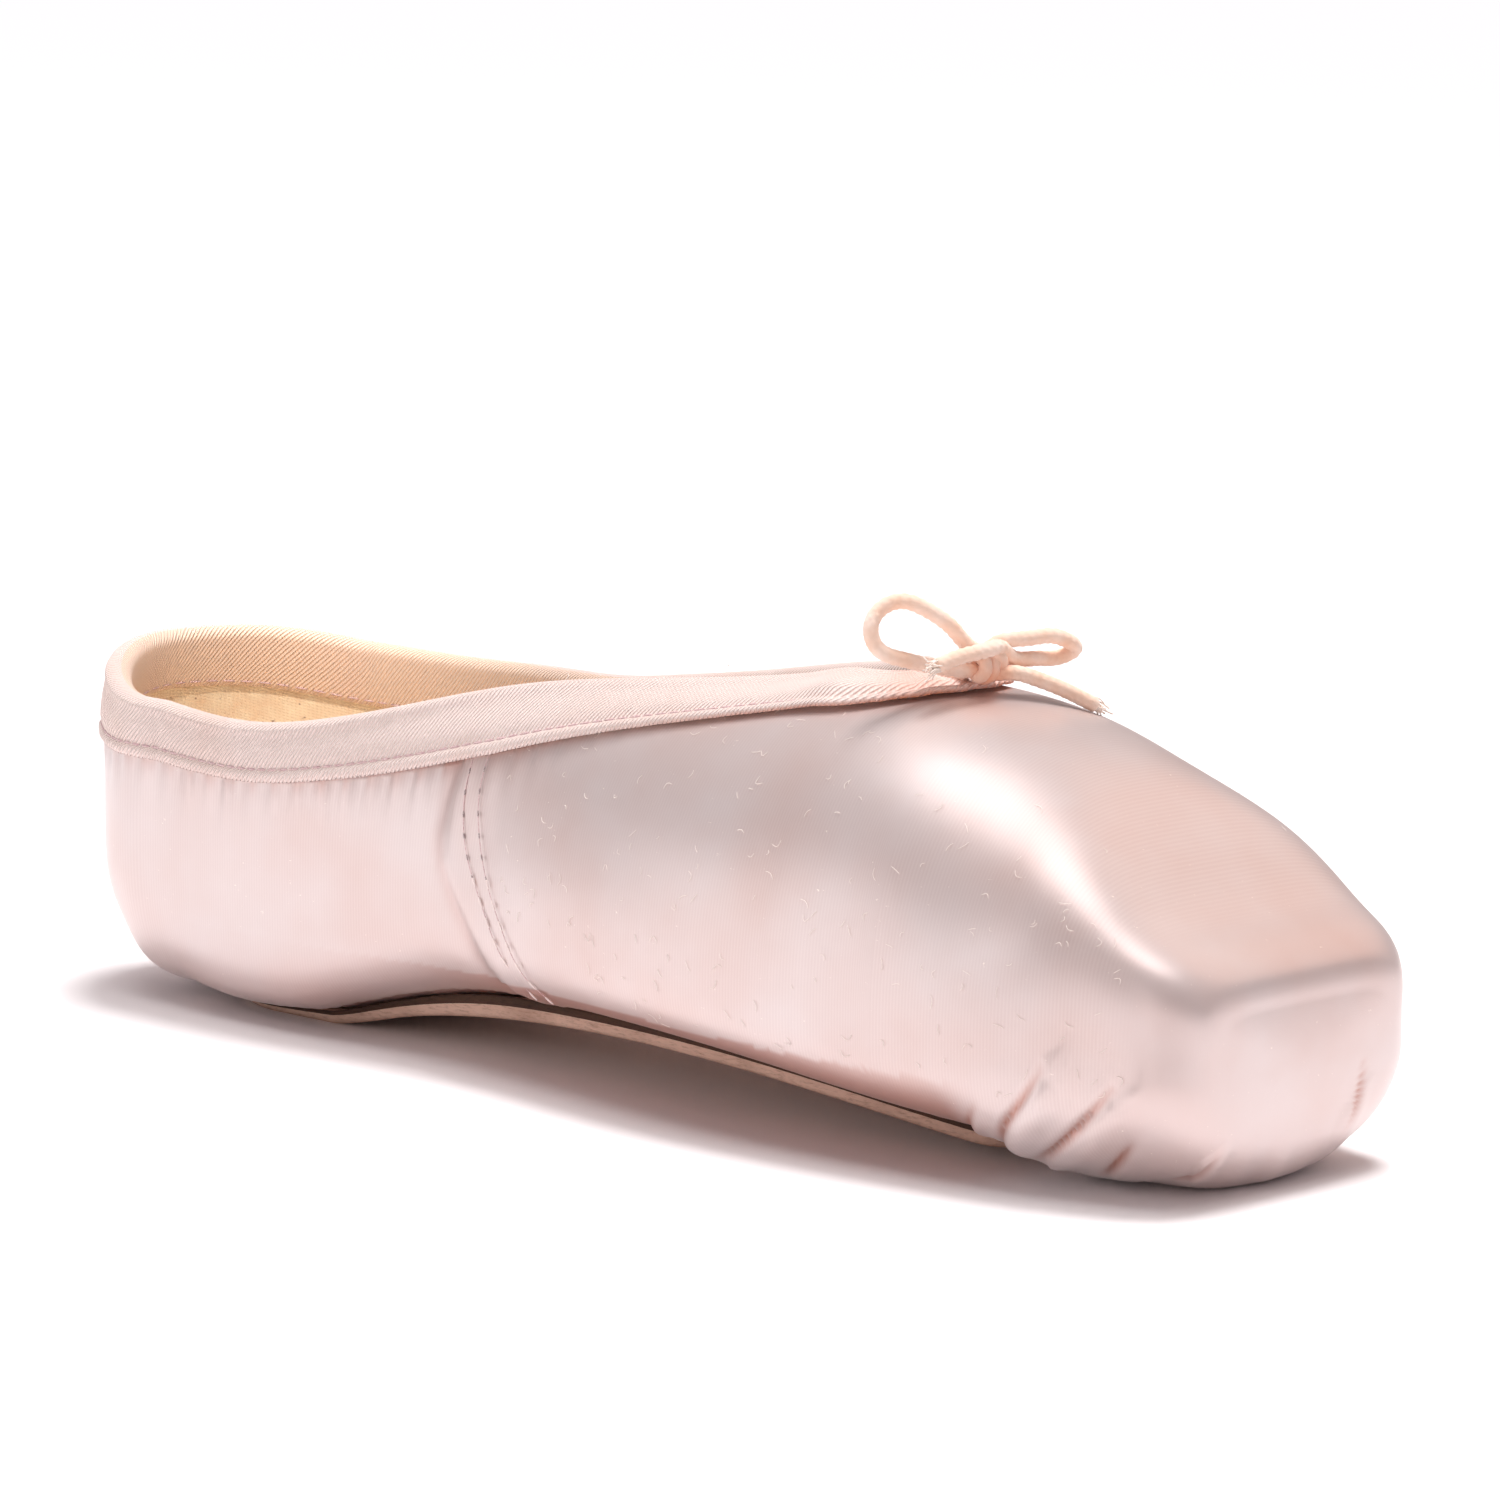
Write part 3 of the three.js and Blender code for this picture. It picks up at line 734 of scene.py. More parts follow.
@dataclass(frozen=True)
class Satin:
    """Pale pink satin: long floats of thread, so it shines along them."""

    colour: str = "#decfcd"
    deep: str = "#d4b5ad"
    rib: str = "#fff6f0"
    fluff: str = "#fff1e8"
    # fold: the colour of painted shade in creases, below the tape, beside the seam's lap and low on
    # the sides over the sole
    fold: str = "#b4694f"
    roughness: float = 0.4
    metallic: float = 0.4
    rib_pitch: float = 0.58
    rib_end: tuple[float, float] = (0.113, 0.104)

    def material(self) -> Material:
        """The satin's material. Its ribs end before the platform, and painted shade darkens it
        towards the fold colour where the tint attribute says.
        """
        g = Graph("satin")
        x = g.node("SeparateXYZ", {"Vector": g.vector()}).outputs["X"]
        ribs = g.math("MULTIPLY", g.ribs(self.rib_pitch), g.spread(x, *self.rib_end))
        threads = g.noise((5200, 500, 1), 2.0, source=Source.PATTERN)
        base = g.tone(self.colour, g.noise(38.0), 0.3, 0.8, self.deep)
        base = g.tone(base, ribs, 0.1, 8.0, self.rib)
        base = g.tone(base, g.noise((700, 900, 1300), 3.0, 0.7), 0.7, 0.76, self.fluff)
        return g.finish(
            g.painted_shade(base, self.fold),
            g.math("MULTIPLY_ADD", threads, 0.1, self.roughness - 0.05),
            g.bump(threads, 0.00004, 0.3, g.bump(ribs, 0.00004, 0.14)),
            Metallic=self.metallic,
            Sheen_Weight=0.12,
            Sheen_Roughness=0.4,
            IOR=1.8,
            Coat_Weight=0.8,
            Coat_Roughness=0.4,
            Coat_IOR=2.0,
        )


@dataclass(frozen=True)
class Canvas:
    """Plain cotton weave of the lining and the insole, with dark specks."""

    name: str
    colour: str = "#fff0d6"
    slub: str = "#f3d8ba"
    speck: str = "#8d7160"
    pitch: float = 0.5

    def material(self) -> Material:
        """The canvas's material."""
        g = Graph(self.name)
        height = g.math("MULTIPLY", g.ribs(self.pitch), g.ribs(self.pitch, way="Y"))
        base = g.tone(self.colour, g.noise(400.0), 0.3, 0.8, self.slub)
        base = g.tone(base, g.noise(900.0, 1.0), 0.72, 0.8, self.speck)
        return g.finish(base, 0.9, g.bump(height, 0.0002, 0.6), Sheen_Weight=0.2)


@dataclass(frozen=True)
class Tape:
    """The casing's twill: fine ribs that climb to the right."""

    name: str = "cotton tape"
    colour: str = "#ffebe4"
    shade: str = "#f0cfc4"
    cloud: str = "#f3d3c6"
    # hem: painted orange shade on the outer hem near the throat and where the tape bunches
    hem: str = "#dd8258"
    pitch: float = 0.6
    cross_pitch: float = 0.375
    climb: float = -42

    def material(self) -> Material:
        """The tape's material, with painted shade in the hem colour where its tint attribute says.
        """
        g = Graph(self.name)
        ribs = g.ribs(self.pitch, self.climb, Distortion=0.4, Detail=2.0)
        height = g.math("MULTIPLY_ADD", g.ribs(self.cross_pitch), 0.35, ribs)
        base = g.tone(self.shade, ribs, -0.6, 0.6, self.colour)
        base = g.tone(base, g.noise(60.0), 0.5, 1.0, self.cloud)
        normal = g.bump(g.noise(1500.0), 0.0001, 0.4, g.bump(height, 0.0003, 0.8))
        base = g.painted_shade(base, self.hem)
        return g.finish(base, 0.82, normal, Sheen_Weight=0.3, Sheen_Roughness=0.5)


@dataclass(frozen=True)
class Braid:
    """Braided cotton cord, with painted orange shade deep in the knot."""

    colour: str = "#ffe6d6"
    shade: str = "#f7c9ab"
    painted_knot_shade: str = "#ee9464"
    knot: Point = (0.0592, -0.0005, 0.0665)
    painted_knot_shade_reach: tuple[float, float] = (0.0042, 0.0005)

    def material(self) -> Material:
        """The cord's material."""
        g = Graph("braided cotton")
        base = g.tone(self.colour, g.noise(260.0), 0.3, 0.8, self.shade)
        # painted orange shade round the knot's middle
        away = g.node("VectorMath", {0: g.vector(), 1: self.knot}, operation="DISTANCE")
        base = g.tone(base, away.outputs["Value"], *self.painted_knot_shade_reach, self.painted_knot_shade)
        return g.finish(base, 0.85, g.bump(g.noise(2200.0), 0.00015, 0.6), Sheen_Weight=0.4)


@dataclass(frozen=True)
class RawLeather:
    """Tan split leather with a fibrous cut edge."""

    name: str = "raw leather"
    colour: str = "#dcb8a4"
    dark: str = "#946e5a"

    def material(self) -> Material:
        """The leather's material."""
        g = Graph(self.name)
        fibres = g.noise((500, 500, 2600), 4.0, 0.65)
        base = g.tone(self.colour, g.noise(90.0, 4.0, 0.6), 0.45, 1.1, self.dark)
        base = g.tone(base, fibres, 0.5, 0.85, self.dark)
        normal = g.bump(g.noise(1400.0), 0.00015, 0.5, g.bump(fibres, 0.0003, 0.7))
        return g.finish(base, 0.88, normal)


def thread(name: str, colour: str, light: str = "#fff1ec") -> Material:
    """Twisted sewing thread."""
    g = Graph(name)
    twist = g.noise(5000.0)
    return g.finish(g.tone(colour, twist, 0.3, 0.9, light), 0.6, g.bump(twist, 0.0001, 0.5))


@dataclass
class Stitching:
    """One row of stitches: its line of points, its sizes in millimetres, thread and slot."""

    name: str
    line: Array
    pitch: float
    length: float
    thickness: float
    thread: Material
    slot: str


class StitchTree:
    """Geometry Nodes that set stitches along a line."""

    def __init__(self) -> None:
        """Builds the tree."""
        self.tree = bpy.data.node_groups.new("stitches along a line", "GeometryNodeTree")
        for way, name, kind in (
            ("INPUT", "Line", "Geometry"),
            ("INPUT", "Pitch", "Float"),
            ("INPUT", "Length", "Float"),
            ("INPUT", "Thickness", "Float"),
            ("INPUT", "Thread", "Material"),
            ("OUTPUT", "Stitches", "Geometry"),
        ):
            self.tree.interface.new_socket(name, in_out=way, socket_type="NodeSocket" + kind)
        self._wire()

    def _node(self, kind: str, inputs: dict[Any, Any], **settings: Any) -> Any:
        """Adds a node and gives its outputs."""
        return add_node(self.tree, kind, inputs, **settings).outputs

    def _wire(self) -> None:
        """Links the nodes: a ball is stretched, set along the line and dyed."""
        given = self._node("NodeGroupInput", {})
        curve = self._node("GeometryNodeMeshToCurve", {"Mesh": given["Line"]})
        spacing = {"Curve": curve["Curve"], "Length": given["Pitch"]}
        spots = self._node("GeometryNodeCurveToPoints", spacing, mode="LENGTH")
        round_ball = {"Segments": 8, "Rings": 6, "Radius": 0.5}
        ball = self._node("GeometryNodeMeshUVSphere", round_ball)["Mesh"]
        sizes = {"X": given["Thickness"], "Y": given["Thickness"], "Z": given["Length"]}
        size = self._node("ShaderNodeCombineXYZ", sizes)[0]
        shaped = self._node("GeometryNodeTransform", {"Geometry": ball, "Scale": size})
        placing = {
            "Points": spots["Points"],
            "Instance": shaped["Geometry"],
            "Rotation": spots["Rotation"],
        }
        placed = self._node("GeometryNodeInstanceOnPoints", placing)["Instances"]
        real = self._node("GeometryNodeRealizeInstances", {"Geometry": placed})["Geometry"]
        dye = {"Geometry": real, "Material": given["Thread"]}
        dyed = self._node("GeometryNodeSetMaterial", dye)["Geometry"]
        self._node("NodeGroupOutput", {0: dyed})

    def sew(self, row: Stitching) -> Object:
        """Sews a row of stitches as one plain mesh, and settles it."""
        mesh = bpy.data.meshes.new(row.name + " line")
        edges = [(i, i + 1) for i in range(len(row.line) - 1)]
        mesh.from_pydata((row.line * MM).tolist(), edges, [])
        made = stand(row.name, mesh)
        modifier = made.modifiers.new("stitches", "NODES")
        modifier.node_group = self.tree
        values = {
            "Pitch": row.pitch * MM,
            "Length": row.length * MM,
            "Thickness": row.thickness * MM,
            "Thread": row.thread,
        }
        for item in self.tree.interface.items_tree:
            if item.in_out == "INPUT" and item.name in values:
                modifier[item.identifier] = values[item.name]
        seen = made.evaluated_get(bpy.context.evaluated_depsgraph_get())
        sewn = bpy.data.meshes.new_from_object(seen)
        made.modifiers.remove(modifier)
        made.data = sewn
        sewn.polygons.foreach_set("use_smooth", np.ones(len(sewn.polygons), bool))
        return settle(made, row.slot)


@dataclass(frozen=True)
class Crease:
    """A fold in the satin: a sharp trough with painted shade along it and a swell beside it,
    through spots of the last.

    A spot is (at, height) on the near side's skin, or (at, height, across).
    """

    spots: Table
    depth: float
    swell: float
    reach: float
    width: float
    # the last field is the width of the painted shade along the trough
    painted_shade: float = 0.6
    facing: Point = (0.3, -0.9, 0.2)

    def signed(self, points: Array, last: Last) -> tuple[Array, Array]:
        """Distances from the fold's line, negative on its left, and shares along it."""
        spots = [
            last.spot_at(*spot, Side.NEAR) if len(spot) == 2 else (spot[0], spot[2], spot[1])
            for spot in self.spots
        ]
        line = smooth_line(last.on_last(np.array(spots)), 16)
        away, share = distance_to_line(points, line)
        over = np.cross(np.array(self.facing), unit(line[-1] - line[0]))
        return away * np.sign((points - line[len(line) // 2]) @ over), share

    def shape(self, points: Array, last: Last) -> tuple[Array, Array]:
        """How far the fold moves points outwards, and how much painted shade darkens them along the
        trough.
        """
        signed, share = self.signed(points, last)
        fade = np.sin(np.pi * clamp(share, 0.03, 0.97)) ** 0.6
        swell = self.swell * bell(signed - self.reach * 0.45, self.reach * 0.5)
        trough = self.depth * bell(signed, self.width)
        return fade * (swell - trough), fade * bell(signed, self.painted_shade)


@dataclass
class Upper:
    """Satin, canvas and lining in one wall, closed over the toe."""

    last: Last
    fan_steps: int = 36
    body_step: float = 1.15
    toe_step: float = 0.5
    toe_start: float = 192
    edge_steps: int = 20
    dome_steps: int = 16
    end_steps: int = 8
    rows: int = 104
    inner_rows: int = 26
    crowding: float = 1.35
    easing: int = 60
    middle_height: float = 22
    thinnest: float = -1.5
    thickest: float = 2.5
    heel_reach: float = 26
    heel_shift: float = 7
    gather_pace: float = 1.25
    gather_end: tuple[float, float] = (105, 145)
    tape_width: tuple[float, float] = (11.5, 8.4)
    tuck_pace: float = 2.1
    # painted shade low on the sides over the sole: strength at heel and forefoot, where it changes,
    # and how high it reaches
    painted_sole_shade: tuple[float, float] = (0.25, 0.95)
    painted_sole_shade_span: tuple[float, float] = (75, 115)
    painted_sole_shade_rise: float = 7.5
    gather: float = 0.4
    tuck: float = 0.25
    tuck_in: float = -1.2
    heel_tuck: float = -1.6
    pleat: float = 0.45
    lap: float = 0.5
    hollow: float = -0.35
    row_groove: float = 0.16
    fold: Table = (
        # at, height of the front panel's folded edge
        (95.4, 49.0), (95.2, 44.0), (94.9, 40.1), (94.6, 32.9),
        (98.5, 25.8), (103.6, 18.3), (107.0, 12.3),
    )
    rear_row: Table = (
        (97.8, 47.6), (97.9, 41.1), (98.6, 37.7), (100.5, 32.7),
        (103.2, 28.3), (105.8, 24.1), (108.6, 19.7), (111.8, 13.6),
    )
    front_row: Table = (
        (100.8, 48.2), (101.1, 41.5), (102.0, 38.1), (103.4, 34.4),
        (105.8, 29.4), (109.9, 22.6), (113.1, 17.7), (115.8, 13.6),
    )
    creases: tuple[Crease, ...] = (
        # spots, depth, swell, reach, width
        Crease(((215.4, 18.4), (211.9, 13.2), (208.4, 9.4), (204.0, 5.0)), 1.2, 1.2, 5.2, 0.6),
        Crease(((225.4, 16.8), (220.6, 11.4), (215.6, 7.4), (208.6, 4.0)), 1.3, 1.3, 5.6, 0.6),
        Crease(((227.0, 9.0), (222.5, 5.4), (217.5, 2.6)), 0.8, 0.5, 3.2, 0.55),
        Crease(((204.5, 12.0), (200.8, 8.6), (197.0, 6.2)), 0.4, 0.6, 3.0, 0.6),
        Crease(
            ((234.6, 9.4, -16.4), (232.6, 5.6, -16.9), (228.0, 2.6, -17.8)), 0.9, 0.5, 3.0, 0.55
        ),
        Crease(((236.3, 16.5, 13.2), (235.4, 9.5, 12.2), (233.5, 5.5, 9.8)), 0.35, 0.3, 3.0, 0.5),
    )

    def _columns(self) -> tuple[Array, Array, Array]:
        """Turns round the heel, places along the last and turns round the platform's edge."""
        last = self.last
        turns = np.linspace(QUARTER, 0, self.fan_steps, endpoint=False)
        bend = 1 - np.cos(np.linspace(0, QUARTER, self.end_steps))
        ends = [last.throat - last.throat_round * bend]
        ends += [last.cut[0] + last.cut_round * bend, last.cut[1] - last.cut_round * bend]
        count = round((self.toe_start - last.heel_round) / self.body_step)
        body = np.linspace(last.heel_round, self.toe_start, count, endpoint=False)
        count = round((last.end - self.toe_start) / self.toe_step)
        along = np.concatenate([body, np.linspace(self.toe_start, last.end, count)])
        exact = np.array([last.throat, *last.cut])
        near = np.abs(along[:, None] - exact).min(1) < 0.25
        near[[0, -1]] = False
        along = np.unique(np.round(np.concatenate([along[~near], *ends]), 4))
        return turns, along, np.linspace(0, QUARTER, self.edge_steps + 1)[1:]

    def skin(self, inset: float, rows: int) -> tuple[Array, Array, Array]:
        """The skin at an inset as a grid that runs near top, underside, far top.

        Args:
            inset: how deep in the wall the skin lies.
            rows: points on each half of a section.

        Returns:
            The grid's points, and which of its columns are open at the collar and cut below.
        """
        last = self.last
        turns, along, edge = self._columns()
        scale = np.linspace(1, 0, self.dome_steps + 1)[1:, None]
        heel = last.heel(turns).spread()
        body = last.body(along).spread()
        rim, face = (last.body(np.full(len(k), last.end)).spread() for k in (edge, scale))
        cut = last.cut_half_width(along)[:, None]
        low = -np.arccos(clamp(cut / body.half, 0, 1) ** (body.low / 2))
        turn, edge = turns[:, None], edge[:, None]
        ring = last.platform_edge - inset
        grids = []
        for side in Side:
            shares = np.linspace(0, 1, rows) ** self.crowding
            if side is Side.NEAR:
                shares = shares[::-1]
            angle = heel.even_angles(-QUARTER, heel.top_angle(), shares)
            out, height = heel.point(angle, inset)
            s = last.heel_round - out * np.sin(turn)
            across = side.value * out * np.cos(turn)
            fan = last.place(s, across, height, heel.slack_at(height))
            out, height = body.point(body.even_angles(low, body.top_angle(), shares), inset)
            slack = body.slack_at(height)
            out = side.value * out
            trunk = last.place(along[:, None], out, np.maximum(height, inset), slack)
            angle = rim.even_angles(-QUARTER, QUARTER, shares)
            out, height = rim.point(angle, inset + ring * (1 - np.cos(edge)))
            s = last.end + ring * np.sin(edge)
            front = last.place(s, side.value * out, np.maximum(height, inset))
            angle = face.even_angles(-QUARTER, QUARTER, shares)
            out, height = face.point(angle, last.platform_edge)
            s = last.end + ring + last.platform_dome * (1 - scale**2)
            height = mix((face.top + face.bottom) / 2, height, scale)
            dome = last.place(s, side.value * out * scale, height)
            grids.append(np.concatenate([fan, trunk, front, dome]))
        is_open = np.zeros(len(grids[0]), bool)
        is_cut = is_open.copy()
        start = len(turns)
        is_open[: start + np.count_nonzero(along <= last.throat)] = True
        is_cut[start : start + len(along)] = (along >= last.cut[0]) & (along <= last.cut[1])
        return np.concatenate(grids, axis=1), is_open, is_cut

    def _puckers(self, points: Array, s: Array) -> tuple[Array, Array]:
        """Small gathers below the tape and round the sole's edge, with painted shade below the tape
        and low on the sides over the sole.
        """
        last = self.last
        _, y, z = columns(points)
        turn = np.arctan2(last.heel_round - s, np.abs(y))
        walk = np.where(s < last.heel_round, -self.heel_reach * turn, s - last.heel_round)
        walk = walk + self.heel_shift * (y > 0)
        section, out, _ = last.over(s, y)
        opening, edge = section.edge()
        below = np.hypot(edge - z, np.maximum(out - opening, 0))
        rear = 1 - smooth_step(s, *self.gather_end)
        tape = mix(*self.tape_width, smooth_step(s, 4, 24))
        waves = wobble(walk * self.gather_pace, 0.4)
        gather = self.gather * waves * bell(below - tape - 0.5, 5.0) * rear
        # painted shade in the gathers just below the tape
        shade = bell(below - tape, 2.0) * rear * clamp(0.2 + 0.4 * waves, 0, 1)
        low = z < last.back_widest * 0.5
        beyond = np.abs(y) - last.sole.half_width(s)
        tucks = self.tuck * wobble(walk * self.tuck_pace, 2.2) * bell(np.maximum(beyond, 0), 3.4)
        ends = smooth_step(s, 27, 36) * (1 - smooth_step(s, 197, 205)) * low
        # painted shade low on the sides: the satin reflecting the shadowed floor by the sole
        rise = np.maximum(z - last.underside(s) - 1.0, 0)
        sole_shade_share = mix(*self.painted_sole_shade, smooth_step(s, *self.painted_sole_shade_span))
        shade += sole_shade_share * bell(rise, self.painted_sole_shade_rise) * ends
        return gather + (tucks + self.tuck_in * bell(beyond, 1.5)) * ends, shade

    def _toe_pleats(self, points: Array, s: Array) -> Array:
        """Folds that fan out from the sole's end under the platform."""
        ahead = s - (self.last.sole.end - 8)
        turn = np.arctan2(points[..., 1], ahead)
        reach = np.hypot(points[..., 1], ahead)
        under = 1 - smooth_step(points[..., 2], 2.0, 12.0)
        ring = smooth_step(reach, 12, 20) * (1 - smooth_step(reach, 40, 52)) * (ahead > 0)
        return self.pleat * wobble(turn * 9, 1.1) * under * ring

    def _seam_step(self, points: Array) -> tuple[Array, Array]:
        """The front panel's folded edge laps over the heel panel on both sides, with painted shade
        on the heel panel beside the edge.
        """
        last = self.last
        total = np.zeros(points.shape[:-1])
        shade = np.zeros(points.shape[:-1])
        for side in Side:
            line = smooth_line(last.on_last(last.spots_along(self.fold, side)), 24)
            away, _ = distance_to_line(points, line)
            at = np.interp(points[..., 2], line[::-1, 2], line[::-1, 0])
            signed = np.where(points[..., 0] < at, -away, away)
            inside = (points[..., 2] < 60) & (np.sign(points[..., 1]) == side.value)
            lap = smooth_step(signed, -0.5, 0.5) * (1 - smooth_step(signed, 1.0, 12.0))
            total += inside * (self.lap * lap + self.hollow * bell(signed + 2.5, 2.5))
            # painted shade beside the lapped edge
            shade += inside * 0.22 * bell(signed + 1.4, 1.5)
            for row in (self.rear_row, self.front_row):
                line = smooth_line(last.on_last(last.spots_along(row, side)), 24)
                total -= self.row_groove * bell(distance_to_line(points, line)[0], 0.8)
        return total, shade

    def _eased(self, points: Array) -> Array:
        """The skin with the box running on softly into the platform's edge."""
        s = self.last.along(points)
        window = smooth_step(s, 212, 221) * (1 - smooth_step(s, 234.5, 236.5))
        weight = window * mix(0.1, 1.0, smooth_step(points[..., 2], 16, 28))
        weight = weight[1:-1, :, None] * 0.5
        points = points.copy()
        for _ in range(self.easing):
            middle = (points[2:] + points[:-2]) / 2
            points[1:-1] += weight * (middle - points[1:-1])
        return points

    def relief(self, points: Array) -> tuple[Array, Array]:
        """How far the satin stands out from the plain last, and the strength of its painted shade.
        """
        s = self.last.along(points)
        z = points[..., 2]
        total, tint = self._puckers(points, s)
        total += self._toe_pleats(points, s)
        total += self.heel_tuck * bell(z - 9.0, 7.0) * (1 - smooth_step(s, 8, 44))
        shapes = [crease.shape(points, self.last) for crease in self.creases]
        for height, shade in (self._seam_step(points), *shapes):
            total += height
            tint += shade
        total = clamp(total, self.thinnest, self.thickest) * smooth_step(z, 0.02, 1.5)
        return total, clamp(tint, 0, 1)

    def build(self, satin: Material, lining: Material) -> Object:
        """Makes the upper, with one material outside and one inside."""
        shell = Shell()
        outer, is_open, is_cut = self.skin(0, self.rows)
        outer = self._eased(outer)
        outward = outer - np.array([0, 0, self.middle_height])
        outward[..., 0] = 60.0 * (outer[..., 0] > 110) - 60.0 * (outer[..., 0] < -95)
        # tint: strength of the painted shade at each point
        lift, tint = self.relief(outer)
        outer = outer + grid_normals(outer, unit(outward)) * lift[..., None]
        inner, _, _ = self.skin(self.last.wall, self.inner_rows)
        grids = []
        for slot, (points, shade) in enumerate(((outer, tint), (inner, None))):
            along = arc_lengths(points, 0).mean(1)[:, None, None]
            along = np.broadcast_to(along, points.shape[:2] + (1,))
            pattern = np.concatenate([along, arc_lengths(points, 1)[..., None]], -1)
            index = shell.add_grid(Skin(points, pattern, shade))
            half = index.shape[1] // 2
            for part in (index[:, :half], index[:, half:]):
                shell.add_sheet(part, slot, slot == 0)
            grids.append(index)
        o, n = grids
        rim = is_open[:-1] & is_open[1:]
        cut = is_cut[:-1] & is_cut[1:]
        for mask, outer_column, inner_column, turned in (
            (rim, 0, 0, False),
            (rim, -1, -1, True),
            (cut, self.rows - 1, self.inner_rows - 1, True),
            (cut, self.rows, self.inner_rows, False),
        ):
            a, b = o[:-1, outer_column][mask], o[1:, outer_column][mask]
            c, d = n[1:, inner_column][mask], n[:-1, inner_column][mask]
            shell.add_quads((a, b, c, d), 0, turned)
        return settle(shell.build("satin_upper", [satin, lining]), "upper", "upper")

    def seam_rows(self, mauve: Material, dark: Material, pale: Material) -> list[Stitching]:
        """Both seams' rows: a fine thread, needle holes above painted dark as shade, and pale
        stitches below.
        """
        found = []
        for side in Side:
            for name, row in (("rear", self.rear_row), ("front", self.front_row)):
                spots = self.last.on_skin(self.last.spots_along(row, side), -0.45)
                line = smooth_line(self.last.on_last(spots), 60)
                upper, lower = line[:30], line[30:]
                label = f"seam_{side.name.lower()}_{name}"
                found += [
                    Stitching(label + "_thread", line, 1.0, 1.15, 0.15, mauve, "upper"),
                    Stitching(label + "_holes", upper, 3.0, 1.1, 0.26, dark, "upper"),
                    Stitching(label + "_stitches", lower, 3.0, 1.9, 0.36, pale, "upper"),
                ]
        return found


@dataclass
class Plate:
    """A plate of leather or board, its outline the sole's stretched from start to end."""

    last: Last
    name: str
    start: float
    end: float
    heights: Callable[[Array, Array], tuple[Array, Array]]
    bevel: float
    along_steps: int = 260
    across_steps: int = 40
    edge_steps: int = 6
    shaded_edge_steps: int = 3
    steepest: float = 30
    bulge: float = 0.12

    def half_width(self, s: Array) -> Array:
        """Half the plate's width at a place along it."""
        sole = self.last.sole
        share = (s - self.start) / (self.end - self.start)
        return sole.half_width(mix(sole.start, sole.end, share))

    def build(self, materials: Sequence[Material]) -> Object:
        """Makes the closed plate, with one material and one for the top strip of its edge, a glue
        line painted dark as the shade of the gap under the satin.
        """
        place, heights = self.last.place, self.heights
        s = mix(self.start, self.end, crowded(self.along_steps, 0.6))
        half = self.half_width(s)
        slope = clamp(np.gradient(half, s), -self.steepest, self.steepest)
        size = np.sqrt(1 + slope**2)
        inner_s = s + self.bevel * slope / size
        inner_half = np.maximum(half - self.bevel / size, 0)
        inner_s[0], inner_s[-1] = s[0] + self.bevel, s[-1] - self.bevel
        inner_half[[0, -1]] = 0
        shell = Shell()
        for which, at, width in ((0, s, half), (1, inner_s, inner_half)):
            across = width[:, None] * np.linspace(-1, 1, self.across_steps)[None, :]
            along = np.broadcast_to(at[:, None], across.shape)
            points = place(along, across, heights(along, across)[which])
            index = shell.add_grid(Skin(points, np.stack([along, across], -1)))
            shell.add_sheet(index, 0, which == 1)
        for side in Side:
            high, low = heights(s, side.value * half)
            up = place(s, side.value * half, high)
            down = place(inner_s, side.value * inner_half, heights(inner_s, inner_half)[1])
            edge = place(s, side.value * half, low + self.bevel)
            wall = [mix(edge, up, k / self.edge_steps) for k in range(self.edge_steps + 1)]
            points = np.stack([down, *wall], 1)
            shares = np.linspace(0, 1, points.shape[1])[None, :]
            fray = 1 + 0.6 * wobble(s * 2.3, 0.7 + side.value)[:, None] * shares
            bulge = self.bulge * np.sin(math.pi * shares) * fray * (half > 1)[:, None]
            points[..., 1] += side.value * bulge
            up_pattern = arc_lengths(points, 1)
            along = np.broadcast_to(s[:, None], up_pattern.shape)
            index = shell.add_grid(Skin(points, np.stack([along, up_pattern], -1)))
            shell.add_sheet(index[:, : -self.shaded_edge_steps], 0, side is Side.FAR)
            # the top strip of the edge takes the painted shade
            shell.add_sheet(index[:, -self.shaded_edge_steps - 1 :], 1, side is Side.FAR)
        return shell.build(self.name, materials)


